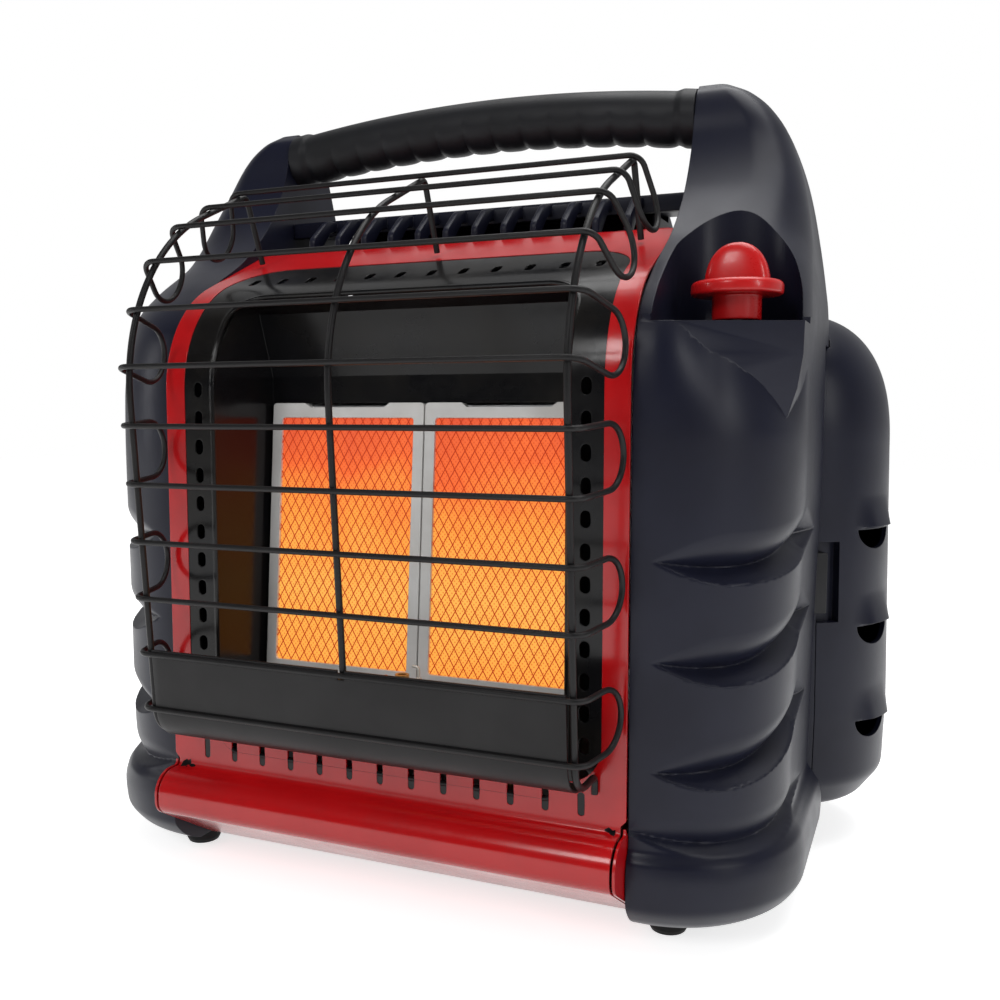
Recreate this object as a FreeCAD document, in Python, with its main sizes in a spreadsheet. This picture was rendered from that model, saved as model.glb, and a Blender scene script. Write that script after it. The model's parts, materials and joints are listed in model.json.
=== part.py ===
# Portable propane heater with two ceramic burner tiles, a wire guard, a carry handle and a bay for a
# small gas cylinder on each side.  Millimetres, +Z up, front towards -Y, standing on z = 0.
import FreeCAD, Part
import math
import os
from types import SimpleNamespace

Vector = FreeCAD.Vector
Rotation = FreeCAD.Rotation

SIZES = [
    ("panel_front", 103.0, "front face of the red panel, in front of the handle side centre"),
    ("panel_width", 238.2, "red panel, left to right"),
    ("panel_gauge", 1.2, "thickness of the red sheet"),
    ("panel_slope", 25.0, "slope of the panel's top, degrees"),
    ("shoulder_height", 282.3, "where the front face and the sloping top would meet"),
    ("shoulder_radius", 60.0, "bend between front and top"),
    ("panel_rear", 30.0, "rear edge of the panel's top, in front of the centre"),
    ("lip_reach", 16.5, "how far the bottom lip stands out"),
    ("lip_top", 54.0, "crease above the lip"),
    ("lip_bottom", 8.0, "lower edge of the panel"),
    ("lip_return", 76.0, "rear end of the lip's underside, in front of the centre"),
    ("opening_width", 216.0, "opening in the red panel"),
    ("opening_bottom", 74.0, "lower edge of the opening"),
    ("opening_rear", 51.7, "upper edge of the opening, in front of the centre"),
    ("opening_radius", 16.0, "corners of the opening"),
    ("slot_count", 13, "slots above the lip"),
    ("slot_pitch", 16.5, "slot spacing"),
    ("slot_wide", 3.4, "slot width"),
    ("slot_high", 10.6, "slot length"),
    ("slot_height", 65.0, "middle of the slots"),
    ("mouth_width", 184.0, "inner opening of the black surround"),
    ("mouth_rear", 78.0, "upper edge of that opening, in front of the centre"),
    ("mouth_bottom", 84.0, "lower edge of that opening"),
    ("surround_gauge", 1.0, "thickness of the surround and firebox sheet"),
    ("hole_pitch", 17.0, "spacing of the holes along the top"),
    ("hole_size", 5.2, "diameter of the top holes"),
    ("vent_pitch", 14.0, "spacing of the oval holes up the sides"),
    ("tile_tilt", 4.5, "lean of the burners, degrees"),
    ("tile_seam_depth", 65.0, "front of the tile frames at their lower edge, in front of the centre"),
    ("tile_seam_height", 98.0, "lower edge of the tile frames"),
    ("frame_wide", 89.2, "one tile frame, left to right"),
    ("frame_high", 141.0, "one tile frame, bottom to top"),
    ("frame_deep", 5.0, "tile frame, front to back"),
    ("frame_rim", 5.6, "width of the frame around its tile"),
    ("tile_thick", 12.0, "ceramic tile"),
    ("tile_recess", 1.4, "tile face behind the frame's face"),
    ("screen_gauge", 0.5, "wire screen"),
    ("screen_pitch", 4.6, "diamond width of the screen"),
    ("screen_wire", 0.8, "screen wire width"),
    ("burner_deep", 34.0, "burner box behind the frame"),
    ("burner_wall", 1.0, "burner box sheet"),
    ("mixer_radius", 11.0, "mixing tube"),
    ("mixer_long", 46.0, "mixing tube below the burner box"),
    ("wire_size", 2.8, "guard wire diameter"),
    ("guard_upright", 105.6, "outer uprights from the centre"),
    ("guard_foot_depth", 133.7, "guard's lower front, in front of the centre"),
    ("guard_foot_height", 76.0, "where the uprights turn back to the panel"),
    ("guard_nose_depth", 151.4, "where the guard's front and top lines would meet"),
    ("guard_nose_height", 304.9, "height of that meeting point"),
    ("guard_nose_radius", 98.0, "bend of the guard"),
    ("guard_top_depth", 54.0, "top bar of the guard, in front of the centre"),
    ("bar_pitch", 27.0, "spacing of the guard's bars along its profile"),
    ("bar_first", 19.5, "lowest bar above the guard's lower bend"),
    ("loop_reach", 38.0, "depth of the loops at the ends of the rings"),
    ("loop_flare", 7.0, "how far the loops lean outwards"),
    ("deflector_gauge", 1.0, "lower deflector plate"),
    ("deflector_top", 123.0, "upper edge of the deflector plate"),
    ("deflector_tail", 111.0, "rear lower edge of the deflector, in front of the centre"),
    ("side_inner", 119.5, "inner face of a side housing from the centre"),
    ("side_outer", 183.0, "outer face of a side housing from the centre"),
    ("side_rear", 34.0, "rear wall of a housing's front body"),
    ("housing_wall", 2.8, "housing wall"),
    ("corner_radius", 64.0, "front corner of a housing"),
    ("skirt_flare", 3.5, "how far the base skirt stands out"),
    ("tower_top", 398.0, "top of a handle tower"),
    ("shelf_height", 271.6, "shelf under the knob"),
    ("knob_x", 152.7, "knob axis from the centre"),
    ("knob_y", -52.0, "knob axis, front to back"),
    ("recess_radius", 28.0, "recess round the knob"),
    ("scoop_depth", 7.0, "depth of the scoops in the corners"),
    ("scoop_radius", 124.0, "plan radius of the scoops' deepest lines"),
    ("scoop_pitch", 48.0, "spacing of the scoops"),
    ("scoop_lowest", 68.0, "lowest scoop"),
    ("bay_x", 155.5, "cylinder bay axis from the centre"),
    ("bay_y", 86.0, "cylinder bay axis, front to back"),
    ("bay_radius", 57.0, "outside radius of the bay and its door"),
    ("bay_wall", 2.6, "wall of the bay and its door"),
    ("bay_bottom", 20.0, "underside of the bay"),
    ("bay_top", 288.0, "top of the bay's dome"),
    ("hinge_x", 103.5, "door hinge axis from the centre"),
    ("hinge_y", 137.0, "door hinge axis, front to back"),
    ("hinge_pin_radius", 1.8, "door hinge pin"),
    ("hinge_play", 0.15, "running clearance of hinges"),
    ("moving_gap", 0.4, "gap between pieces that move past each other"),
    ("fit_gap", 0.3, "gap between fixed pieces that face each other"),
    ("grip_half", 123.0, "half length of the handle grip"),
    ("grip_radius", 14.6, "handle grip radius"),
    ("grip_y", 22.0, "handle axis, front to back"),
    ("grip_end_height", 382.0, "handle axis at its ends"),
    ("grip_rise", 9.4, "rise of the handle in the middle"),
    ("bump_pitch", 16.6, "spacing of the finger bumps"),
    ("core_radius", 5.0, "steel rod inside the handle"),
    ("deck_height", 345.0, "deck between the towers"),
    ("deck_front", 14.0, "front edge of the deck"),
    ("deck_rear", 62.0, "rear edge of the deck"),
    ("fin_count", 12, "fins of the top grille"),
    ("fin_pitch", 16.6, "fin spacing"),
    ("fin_thick", 3.6, "fin thickness"),
    ("rear_width", 188.0, "rear cover, left to right"),
    ("rear_depth", 148.0, "rear face, behind the centre"),
    ("cover_wall", 2.5, "rear cover wall"),
    ("fan_height", 222.0, "fan axis"),
    ("fan_radius", 38.0, "fan blade tips"),
    ("fan_frame_size", 84.0, "fan frame, square"),
    ("fan_frame_deep", 24.0, "fan frame depth"),
    ("battery_wide", 138.0, "battery box, left to right"),
    ("battery_high", 70.0, "battery box height"),
    ("battery_deep", 66.0, "battery box depth"),
    ("battery_low", 26.0, "underside of the battery box"),
    ("foot_radius", 9.0, "rubber foot"),
    ("foot_high", 8.0, "rubber foot height"),
    ("foot_x", 130.0, "feet from the centre"),
    ("foot_front_y", -69.0, "front feet"),
    ("foot_rear_y", 96.0, "rear feet"),
    ("reg_face", 224.0, "lower face of a regulator's socket"),
    ("thread_radius", 12.7, "cylinder thread"),
    ("swivel_x", 146.0, "swivel axis of a regulator from the centre"),
    ("swivel_y", 50.0, "swivel axis of a regulator, front to back"),
    ("swivel_pin_radius", 5.0, "swivel pin"),
    ("vent_turn", -24.0, "middle of a door's vents from straight out"),
    ("vent_half", 15.5, "half width of a vent"),
    ("pipe_rise", 32.4, "elbow's pipe above the socket's face"),
    ("cylinder_room", 50.2, "clear radius for a gas cylinder behind a latch"),
    ("keeper_wall", 2.3, "wall behind a latch"),
    ("gas_pipe_radius", 3.2, "gas pipes"),
]

doc = FreeCAD.newDocument("Heater")
sheet = doc.addObject("Spreadsheet::Sheet", "Sizes")
for row, (alias, value, note) in enumerate(SIZES, start=1):
    sheet.set(f"A{row}", note)
    sheet.set(f"B{row}", str(value))
    sheet.setAlias(f"B{row}", alias)
doc.recompute()
s = SimpleNamespace(**{alias: float(sheet.get(alias)) for alias, value, note in SIZES})
nodes = []


def bind(item, rules):
    """Ties properties of a document object to cells of the sheet."""
    for path, rule in rules.items():
        item.setExpression(path, rule)


def corners_to_edges(points, closed=True):
    """Lines and arcs through corner points (x, y, z, radius)."""
    count = len(points)
    places = [Vector(*p[:3]) for p in points]
    starts, ends, arcs = [], [], []
    for i, corner in enumerate(places):
        radius = points[i][3]
        inner = closed or 0 < i < count - 1
        if radius <= 0 or not inner:
            starts.append(corner)
            ends.append(corner)
            arcs.append(None)
            continue
        into = (corner - places[i - 1]).normalize()
        out = (places[(i + 1) % count] - corner).normalize()
        half = into.getAngle(out) / 2
        reach = radius * math.tan(half)
        bisector = (out - into).normalize()
        starts.append(corner - into * reach)
        ends.append(corner + out * reach)
        arcs.append(corner + bisector * (radius / math.cos(half) - radius))
    edges = []
    for i in range(count):
        if arcs[i] is not None:
            edges.append(Part.Arc(starts[i], arcs[i], ends[i]))
        if i < count - 1 or closed:
            target = starts[(i + 1) % count]
            if (target - ends[i]).Length > 1e-6:
                edges.append(Part.LineSegment(ends[i], target))
    return edges


def flat(points):
    """Sketch outline through corners (u, v) or (u, v, radius)."""
    return corners_to_edges([(p[0], p[1], 0, p[2] if len(p) > 2 else 0) for p in points])


def circle(u, v, radius):
    """Sketch outline of a round hole or disc."""
    return [Part.Circle(Vector(u, v, 0), Vector(0, 0, 1), radius)]


def rectangle(u0, v0, u1, v1, radius=0):
    """Sketch outline of a rectangle with rounded corners."""
    return flat([(u0, v0, radius), (u1, v0, radius), (u1, v1, radius), (u0, v1, radius)])


def beside(points, shift):
    """Path (u, v, radius) moved to its left by shift, with the same bends."""
    count = len(points)
    moved = []
    for i in range(count):
        here = Vector(points[i][0], points[i][1], 0)
        before = Vector(*points[i - 1][:2], 0) if i > 0 else None
        after = Vector(*points[i + 1][:2], 0) if i < count - 1 else None
        way_in = (here - before).normalize() if before is not None else (after - here).normalize()
        way_out = (after - here).normalize() if after is not None else way_in
        left_in = Vector(-way_in.y, way_in.x, 0)
        left_out = Vector(-way_out.y, way_out.x, 0)
        bisector = (left_in + left_out).normalize()
        place = here + bisector * (shift / bisector.dot(left_in))
        turn_left = way_in.cross(way_out).z > 0
        radius = points[i][2]
        if radius > 0:
            radius = max(radius - shift if turn_left else radius + shift, 0.05)
        moved.append((place.x, place.y, radius))
    return moved


def strip(points, thickness):
    """Outline of a bent sheet whose outer face follows the path and that lies to its left."""
    return flat(points + beside(points, thickness)[::-1])


def make_body(label):
    body = doc.addObject("PartDesign::Body", label + "_body")
    body.Label = label
    nodes.append(body)
    return body


def draw(body, plane, outlines, offset="0"):
    """Sketch on one of the body's own origin planes, moved along its normal by a rule."""
    sketch = body.newObject("Sketcher::SketchObject", body.Label + "_sketch")
    support = [item for item in body.Origin.OriginFeatures if item.Role == plane][0]
    sketch.AttachmentSupport = (support, "")
    sketch.MapMode = "FlatFace"
    if offset != "0":
        sketch.setExpression("AttachmentOffset.Base.z", offset)
    for outline in outlines:
        sketch.addGeometry(outline, False)
    return sketch


def pad(body, plane, outlines, length, offset="0", midplane=False, reverse=False):
    feature = body.newObject("PartDesign::Pad", body.Label + "_pad")
    feature.Profile = draw(body, plane, outlines, offset)
    feature.Midplane = midplane
    feature.Reversed = reverse
    feature.setExpression("Length", length)
    return feature


def pocket(body, plane, outlines, length, offset="0", midplane=False, reverse=False):
    doc.recompute()
    before = body.Shape.Volume
    feature = body.newObject("PartDesign::Pocket", body.Label + "_pocket")
    feature.Profile = draw(body, plane, outlines, offset)
    feature.Midplane = midplane
    feature.Reversed = reverse
    feature.setExpression("Length", length)
    doc.recompute()
    if body.Shape.Volume > before - 1e-3:
        raise RuntimeError(body.Label + " has a cut that removes nothing")
    return feature


def repeat(body, feature, role, length, count):
    """Copies of a feature in a row along one of the body's axes."""
    pattern = body.newObject("PartDesign::LinearPattern", body.Label + "_row")
    pattern.Originals = [feature]
    axis = [item for item in body.Origin.OriginFeatures if item.Role == role][0]
    pattern.Direction = (axis, [""])
    pattern.setExpression("Length", length)
    pattern.setExpression("Occurrences", count)
    body.Tip = pattern
    return pattern


def turned(body, points, axis_role="Z_Axis", plane="XZ_Plane"):
    """Revolution of an outline of corners (radius, height, bend) about the body's own axis."""
    feature = body.newObject("PartDesign::Revolution", body.Label + "_turned")
    feature.Profile = draw(body, plane, [flat(points)])
    axis = [item for item in body.Origin.OriginFeatures if item.Role == axis_role][0]
    feature.ReferenceAxis = (axis, [""])
    feature.Angle = 360
    return feature


def block(label, size, place):
    """Part::Box with its three sizes and its low corner given as rules."""
    item = doc.addObject("Part::Box", label + "_box")
    item.Label = label
    bind(item, dict(zip(("Length", "Width", "Height"), size)))
    bind(item, dict(zip(("Placement.Base.x", "Placement.Base.y", "Placement.Base.z"), place)))
    return item


def round_bar(label, radius, height, place):
    item = doc.addObject("Part::Cylinder", label + "_bar")
    item.Label = label
    bind(item, {"Radius": radius, "Height": height})
    bind(item, dict(zip(("Placement.Base.x", "Placement.Base.y", "Placement.Base.z"), place)))
    return item


def keep(label, shape):
    """Feature whose shape comes from the Part functions."""
    item = doc.addObject("Part::Feature", label + "_form")
    item.Label = label
    item.Shape = shape
    nodes.append(item)
    return item


def tube(points, radius):
    """Round bar along corner points (x, y, z, bend radius)."""
    edges = [edge.toShape() for edge in corners_to_edges(points, closed=False)]
    path = Part.Wire(edges)
    start = path.Edges[0].valueAt(path.Edges[0].FirstParameter)
    way = path.Edges[0].tangentAt(path.Edges[0].FirstParameter)
    ring = Part.Wire([Part.Circle(start, way, radius).toShape()])
    return path.makePipeShell([ring], True, False)


def mirrored(shape):
    return shape.mirror(Vector(0, 0, 0), Vector(1, 0, 0))


def box_between(low, high):
    size = [high[i] - low[i] for i in range(3)]
    return Part.makeBox(*size, Vector(*low))


def rod(base, way, radius, length):
    return Part.makeCylinder(radius, length, Vector(*base), Vector(*way))


# Sheet metal front

def panel_path():
    """Profile (y, z, bend) of the red panel's outer face, from the lip's underside to the rear edge."""
    slope = math.tan(math.radians(s.panel_slope))
    front = -s.panel_front
    nose = front - s.lip_reach
    rear_height = s.shoulder_height + (s.panel_front - s.panel_rear) * slope
    return [
        (-s.lip_return + 16, s.lip_bottom, 0),
        (-s.lip_return, s.lip_bottom, 3),
        (nose, s.lip_top - 18.6, 8),
        (nose, s.lip_top, 11.5),
        (front, s.lip_top, 1.6),
        (front, s.shoulder_height, s.shoulder_radius),
        (-s.panel_rear, rear_height, 2),
        (-s.panel_rear, rear_height - 12, 0),
    ]


def front_panel():
    body = make_body("front_panel")
    path = panel_path()
    pad(body, "YZ_Plane", [flat(path + beside(path, -s.panel_gauge)[::-1])], "Sizes.panel_width",
        midplane=True)
    half = s.opening_width / 2
    pocket(body, "XZ_Plane",
           [flat([(-half, s.opening_bottom, s.opening_radius), (half, s.opening_bottom, s.opening_radius),
                  (half, s.shoulder_height + 60), (-half, s.shoulder_height + 60)])],
           "100", "Sizes.opening_rear", reverse=True)
    first = -(s.slot_count - 1) / 2 * s.slot_pitch
    half_slot = s.slot_wide / 2
    slot = rectangle(first - half_slot, s.slot_height - s.slot_high / 2, first + half_slot,
                     s.slot_height + s.slot_high / 2, half_slot - 0.01)
    cut = pocket(body, "XZ_Plane", [slot], "20", "Sizes.panel_front - 8", reverse=True)
    repeat(body, cut, "X_Axis", "Sizes.slot_pitch * (Sizes.slot_count - 1)", "Sizes.slot_count")


def reflector_surround():
    """Black sheet under the panel with the firebox mouth and its rows of holes."""
    body = make_body("reflector_surround")
    path = beside(panel_path()[4:7], -(s.panel_gauge + 0.05))
    low = (path[0][0], s.opening_bottom - 6, 0)
    slope = math.tan(math.radians(s.panel_slope))
    rear = -s.opening_rear + 8
    high = (rear, path[1][1] + (rear - path[1][0]) * slope, 0)
    face = [low, path[1], high]
    pad(body, "YZ_Plane", [flat(face + beside(face, -s.surround_gauge)[::-1])],
        "Sizes.opening_width + 14", midplane=True)
    half = s.mouth_width / 2
    pocket(body, "XZ_Plane",
           [flat([(-half, s.mouth_bottom, 12), (half, s.mouth_bottom, 12),
                  (half, s.shoulder_height + 40), (-half, s.shoulder_height + 40)])],
           "100", "Sizes.mouth_rear", reverse=True)
    hole_depth = (s.opening_rear + s.mouth_rear) / 2 + 1
    count = 12
    first = -(count - 1) / 2 * s.hole_pitch
    cut = pocket(body, "XY_Plane", [circle(first, -hole_depth, s.hole_size / 2)], "60",
                 "Sizes.shoulder_height - 10", reverse=True)
    repeat(body, cut, "X_Axis", "Sizes.hole_pitch * 11", "12")
    side = (s.mouth_width + s.opening_width) / 4
    vents = []
    for level in range(13):
        height = s.mouth_bottom + 12 + level * s.vent_pitch
        for x in (-side, side):
            vents.append(rectangle(x - 2.3, height - 3.6, x + 2.3, height + 3.6, 2.28))
    pocket(body, "XZ_Plane", vents, "60", "Sizes.panel_front - 45", reverse=True)


def firebox_shell():
    """Side walls, hood and floor between the mouth and the burners, one folded sheet."""
    gauge = s.surround_gauge
    half = s.mouth_width / 2
    front = -s.panel_front + s.panel_gauge + s.surround_gauge + 0.1
    tile_y = -s.tile_seam_depth
    low = s.tile_seam_height
    lean = math.tan(math.radians(s.tile_tilt))
    top = low + s.frame_high * math.cos(math.radians(s.tile_tilt))
    top_y = tile_y + (top - low) * lean
    roof = [(-s.mouth_rear, s.shoulder_height + 6.5), (-s.mouth_rear + 16, s.shoulder_height + 2),
            (top_y + 3, top + 14), (top_y + 3, top - 0.15)]
    outline = [(front, s.mouth_bottom - 3), (front, s.shoulder_height - 36),
               (front + 6, s.shoulder_height - 15)] + roof + [(tile_y + 3, low - 0.3)]
    walls = []
    for x in (-half - gauge, half):
        wire = Part.makePolygon([Vector(x, y, z) for y, z in outline + outline[:1]])
        walls.append(Part.Face(wire).extrude(Vector(gauge, 0, 0)))
    hood = [(p[0], p[1], 0) for p in roof]
    floor = [(tile_y + 3, low - 0.3, 0), (front, s.mouth_bottom - 3, 0)]
    for path in (hood, floor):
        outer = path + beside(path, gauge)[::-1]
        wire = Part.makePolygon([Vector(-half - gauge, y, z) for y, z, bend in outer + outer[:1]])
        walls.append(Part.Face(wire).extrude(Vector(s.mouth_width + 2 * gauge, 0, 0)))
    keep("firebox_shell", walls[0].multiFuse(walls[1:]).removeSplitter())


# Wire guard

def guard_path(shift=0):
    """Profile (y, z, bend) of the guard's bars, moved towards the heater by shift."""
    slope = math.tan(math.radians(s.panel_slope))
    leg_top = s.guard_nose_height + (s.guard_nose_depth - s.guard_top_depth) * slope
    path = [
        (-s.panel_front - 9, s.guard_foot_height, 0),
        (-s.guard_foot_depth, s.guard_foot_height, 17),
        (-s.guard_nose_depth, s.guard_nose_height, s.guard_nose_radius),
        (-s.guard_top_depth, leg_top, 0),
    ]
    return beside(path, -shift) if shift else path


def bar_places():
    """Places and inward directions of the twelve bars along the guard's profile, lowest first."""
    points = [(0, y, z, bend) for y, z, bend in guard_path()]
    edges = [edge.toShape() for edge in corners_to_edges(points, closed=False)]
    skip = edges[0].Length + edges[1].Length + s.bar_first - 17
    places = []
    for index in range(12):
        along = skip + index * s.bar_pitch
        for edge in edges:
            if along <= edge.Length + 0.5:
                break
            along -= edge.Length
        where = edge.getParameterByLength(min(along, edge.Length))
        way = edge.tangentAt(where)
        places.append((edge.valueAt(where), Vector(0, way.z, -way.y)))
    return places


def guard_rings():
    """Six closed rings, each a pair of bars joined by loops that reach back beside the panel."""
    places = bar_places()
    rings = []
    corner = s.guard_upright + 5
    for index in range(0, 12, 2):
        (low, low_in), (high, high_in) = places[index], places[index + 1]
        inward = (low_in + high_in).normalize()
        across = (high - low).normalize()
        inward = (inward - across * inward.dot(across)).normalize()
        bend = (high - low).Length / 2
        free = (-s.panel_front - 1.6 - s.wire_size / 2 - low.y) / max(inward.y, 0.1)
        reach = min(s.loop_reach, free) if index < 8 else s.loop_reach - 8
        out = corner + s.loop_flare
        back_low, back_high = low + inward * reach, high + inward * reach
        points = [
            (0, low.y, low.z, 0),
            (corner, low.y, low.z, 7),
            (out, back_low.y, back_low.z, bend - 0.01),
            (out, back_high.y, back_high.z, bend - 0.01),
            (corner, high.y, high.z, 7),
            (0, high.y, high.z, 0),
        ]
        half = tube(points, s.wire_size / 2)
        rings.append(half.fuse(mirrored(half)).removeSplitter())
    keep("guard_rings", Part.makeCompound(rings))


def guard_uprights():
    """Three uprights behind the bars; the outer two hook into the panel at the bottom."""
    path = guard_path(s.wire_size + 0.05)
    slope = math.tan(math.radians(s.panel_slope))
    leg_y = -s.panel_rear - 9
    leg_z = s.shoulder_height + (leg_y + s.panel_front) * slope + 2.3
    top = [(path[3][0], path[3][1], 3.2), (leg_y, leg_z, 0)]
    foot_z = path[0][1]
    hook = [(-s.panel_front - s.wire_size / 2 - 0.05, foot_z - 7, 0),
            (-s.panel_front - s.wire_size / 2 - 0.05, foot_z, 3)]
    bars = []
    for x in (-s.guard_upright, s.guard_upright):
        points = hook + path[1:3] + top
        bars.append(tube([(x, y, z, bend) for y, z, bend in points], s.wire_size / 2))
    crossing = bar_places()[1][0]
    start = (path[2][0] - (path[2][0] - path[1][0]) * (path[2][1] - crossing.z)
             / (path[2][1] - path[1][1]), crossing.z, 0)
    points = [start, path[2]] + top
    bars.append(tube([(0, y, z, bend) for y, z, bend in points], s.wire_size / 2))
    keep("guard_uprights", Part.makeCompound(bars))


def deflector_plate():
    """Curved plate behind the two lowest bars, between the outer uprights."""
    body = make_body("deflector_plate")
    path = guard_path(s.wire_size / 2 + 0.05)
    lean = (path[2][0] - path[1][0]) / (path[2][1] - path[1][1])
    top = (path[1][0] + lean * (s.deflector_top - path[1][1]), s.deflector_top, 0)
    face = [(-s.deflector_tail, path[1][1], 0), path[1], top]
    width = f"2 * (Sizes.guard_upright - Sizes.wire_size / 2 - 0.3)"
    pad(body, "YZ_Plane", [flat(face + beside(face, -s.deflector_gauge)[::-1])], width, midplane=True)
    foot = bar_places()[1][0].z - s.wire_size / 2 - 0.4
    notch = rectangle(-s.wire_size / 2 - 0.3, foot, s.wire_size / 2 + 0.3, s.deflector_top + 3)
    pocket(body, "XZ_Plane", [notch], "Sizes.guard_nose_depth", reverse=True)


# Burners

def tilted(shape):
    """Moves a piece drawn against an upright frame face to the leaning burners."""
    shape.Placement = FreeCAD.Placement(Vector(0, -s.tile_seam_depth, s.tile_seam_height),
                                        Rotation(Vector(1, 0, 0), -s.tile_tilt)).multiply(shape.Placement)
    return shape


def lean(body):
    """The same lean for a body, bound to the sheet."""
    body.Placement = FreeCAD.Placement(Vector(0, 0, 0), Rotation(Vector(1, 0, 0), -s.tile_tilt))
    bind(body, {"Placement.Base.y": "-Sizes.tile_seam_depth", "Placement.Base.z": "Sizes.tile_seam_height"})


def frame_span(side):
    """Left and right edge of a tile frame."""
    near = 0.4
    return (near, near + s.frame_wide) if side > 0 else (-near - s.frame_wide, -near)


def tile_frame(side, name):
    body = make_body("tile_frame_" + name)
    x0, x1 = frame_span(side)
    middle = (x0 + x1) / 2
    notch = 22
    outer = flat([(x0, 0, 2), (x1, 0, 2), (x1, s.frame_high, 2), (middle + notch + 3, s.frame_high, 1),
                  (middle + notch, s.frame_high - 2.2, 1), (middle - notch, s.frame_high - 2.2, 1),
                  (middle - notch - 3, s.frame_high, 1), (x0, s.frame_high, 2)])
    inner = rectangle(x0 + s.frame_rim, s.frame_rim, x1 - s.frame_rim, s.frame_high - s.frame_rim - 2, 1.5)
    pad(body, "XZ_Plane", [outer, inner], "Sizes.frame_deep", reverse=True)
    lean(body)


def tile(side, name):
    body = make_body("burner_tile_" + name)
    x0, x1 = frame_span(side)
    edge = s.frame_rim + s.fit_gap
    pad(body, "XZ_Plane", [rectangle(x0 + edge, edge, x1 - edge, s.frame_high - edge - 2, 1.2)],
        "Sizes.tile_thick", "-Sizes.tile_recess", reverse=True)
    lean(body)


def tile_screen(side, name):
    """Flat diamond wire screen in front of a tile."""
    x0, x1 = frame_span(side)
    edge = s.frame_rim + s.fit_gap
    left, right, low, high = x0 + edge, x1 - edge, edge, s.frame_high - edge - 2
    rim = 1.6
    columns = int((right - left - 2 * rim) / s.screen_pitch)
    rows = int((high - low - 2 * rim) / (2 * s.screen_pitch))
    step_x = (right - left - 2 * rim) / columns
    step_z = (high - low - 2 * rim) / rows
    width, height = step_x - s.screen_wire, step_z - 1.6 * s.screen_wire
    depth = s.tile_recess - s.screen_gauge - 0.1
    loops = [Part.makePolygon([Vector(left, depth, low), Vector(right, depth, low),
                               Vector(right, depth, high), Vector(left, depth, high),
                               Vector(left, depth, low)])]
    for column in range(columns):
        for level in range(rows):
            x = left + rim + (column + 0.5) * step_x
            z = low + rim + (level + 0.5) * step_z
            loops.append(Part.makePolygon([Vector(x - width / 2, depth, z), Vector(x, depth, z - height / 2),
                                           Vector(x + width / 2, depth, z), Vector(x, depth, z + height / 2),
                                           Vector(x - width / 2, depth, z)]))
    face = Part.Face(loops[0])
    holes = [Part.Face(loop) for loop in loops[1:]]
    face = face.cut(Part.makeCompound(holes))
    keep("tile_screen_" + name, tilted(face.extrude(Vector(0, s.screen_gauge, 0))))


def burner_box(side, name):
    """Gas box behind a tile with its mixing tube below."""
    x0, x1 = frame_span(side)
    wall = s.burner_wall
    back = s.frame_deep + s.burner_deep
    middle = (x0 + x1) / 2
    tube_y = s.frame_deep + s.burner_deep / 2 + 3
    outer = box_between((x0 + 1, s.frame_deep, 1), (x1 - 1, back, s.frame_high - 1))
    mouth = s.frame_rim - 1
    hollow = box_between((x0 + mouth, s.frame_deep - 1, mouth), (x1 - mouth, s.frame_deep + 9.2, s.frame_high - mouth - 1))
    chamber = box_between((x0 + 1 + wall, s.frame_deep + 9.1, 1 + wall),
                          (x1 - 1 - wall, back - wall, s.frame_high - 1 - wall))
    neck = rod((middle, tube_y, 0 - s.mixer_long), (0, 0, 1), s.mixer_radius, s.mixer_long + 6)
    bell = Part.makeCone(s.mixer_radius + 3, s.mixer_radius, 8, Vector(middle, tube_y, -s.mixer_long))
    bore = rod((middle, tube_y, -s.mixer_long - 1), (0, 0, 1), s.mixer_radius - 1.2, s.mixer_long + 12)
    mouth_bell = Part.makeCone(s.mixer_radius + 1.8, s.mixer_radius - 1.2, 8,
                               Vector(middle, tube_y, -s.mixer_long - 0.01))
    shape = outer.cut(hollow).cut(chamber).fuse([neck, bell]).cut(bore).cut(mouth_bell)
    keep("burner_box_" + name, tilted(shape.removeSplitter()))


def orifice(side, name):
    """Brass jet under a mixing tube."""
    x0, x1 = frame_span(side)
    tube_y = s.frame_deep + s.burner_deep / 2 + 3
    low = -s.mixer_long - 9
    shape = Part.makeCone(4.2, 1.6, 6, Vector((x0 + x1) / 2, tube_y, low + 5))
    shape = shape.fuse(rod(((x0 + x1) / 2, tube_y, low), (0, 0, 1), 4.2, 5))
    keep("orifice_" + name, tilted(shape))


def manifold():
    """Brass bar that carries both jets and is held on the base pan by two legs."""
    tube_y = s.frame_deep + s.burner_deep / 2 + 3
    reach = s.frame_wide / 2 + 14
    low = -s.mixer_long - 9
    bar = box_between((-reach, tube_y - 6, low - 12.05), (reach, tube_y + 6, low - 0.05))
    keep("gas_manifold", tilted(bar))


# Valve and knob

def valve_body():
    x, y = s.knob_x, s.knob_y
    top = s.shelf_height - s.housing_wall - 0.4
    body = box_between((x - 15, y - 15, top - 46), (x + 15, y + 15, top - 8))
    neck = rod((x, y, top - 8), (0, 0, 1), 9, 8)
    outlet = rod((x - 15, y + 5, top - 34), (-1, 0, 0), 5.5, 9)
    inlet = rod((x, y + 15, top - 22), (0, 1, 0), 5.5, 9)
    bore = rod((x, y, top - 30), (0, 0, 1), 3.05, 40)
    keep("valve_body", body.fuse([neck, outlet, inlet]).cut(bore).removeSplitter())


def valve_spindle():
    """Spindle with a flat, turned by the knob."""
    x, y = s.knob_x, s.knob_y
    low = s.shelf_height - s.housing_wall - 0.4 - 28
    shape = rod((x, y, low), (0, 0, 1), 3.0, s.shelf_height + 12 - low)
    flat_cut = box_between((x - 4, y + 2.0, s.shelf_height + 0.1), (x + 4, y + 4, s.shelf_height + 13))
    keep("valve_spindle", shape.cut(flat_cut))


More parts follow.
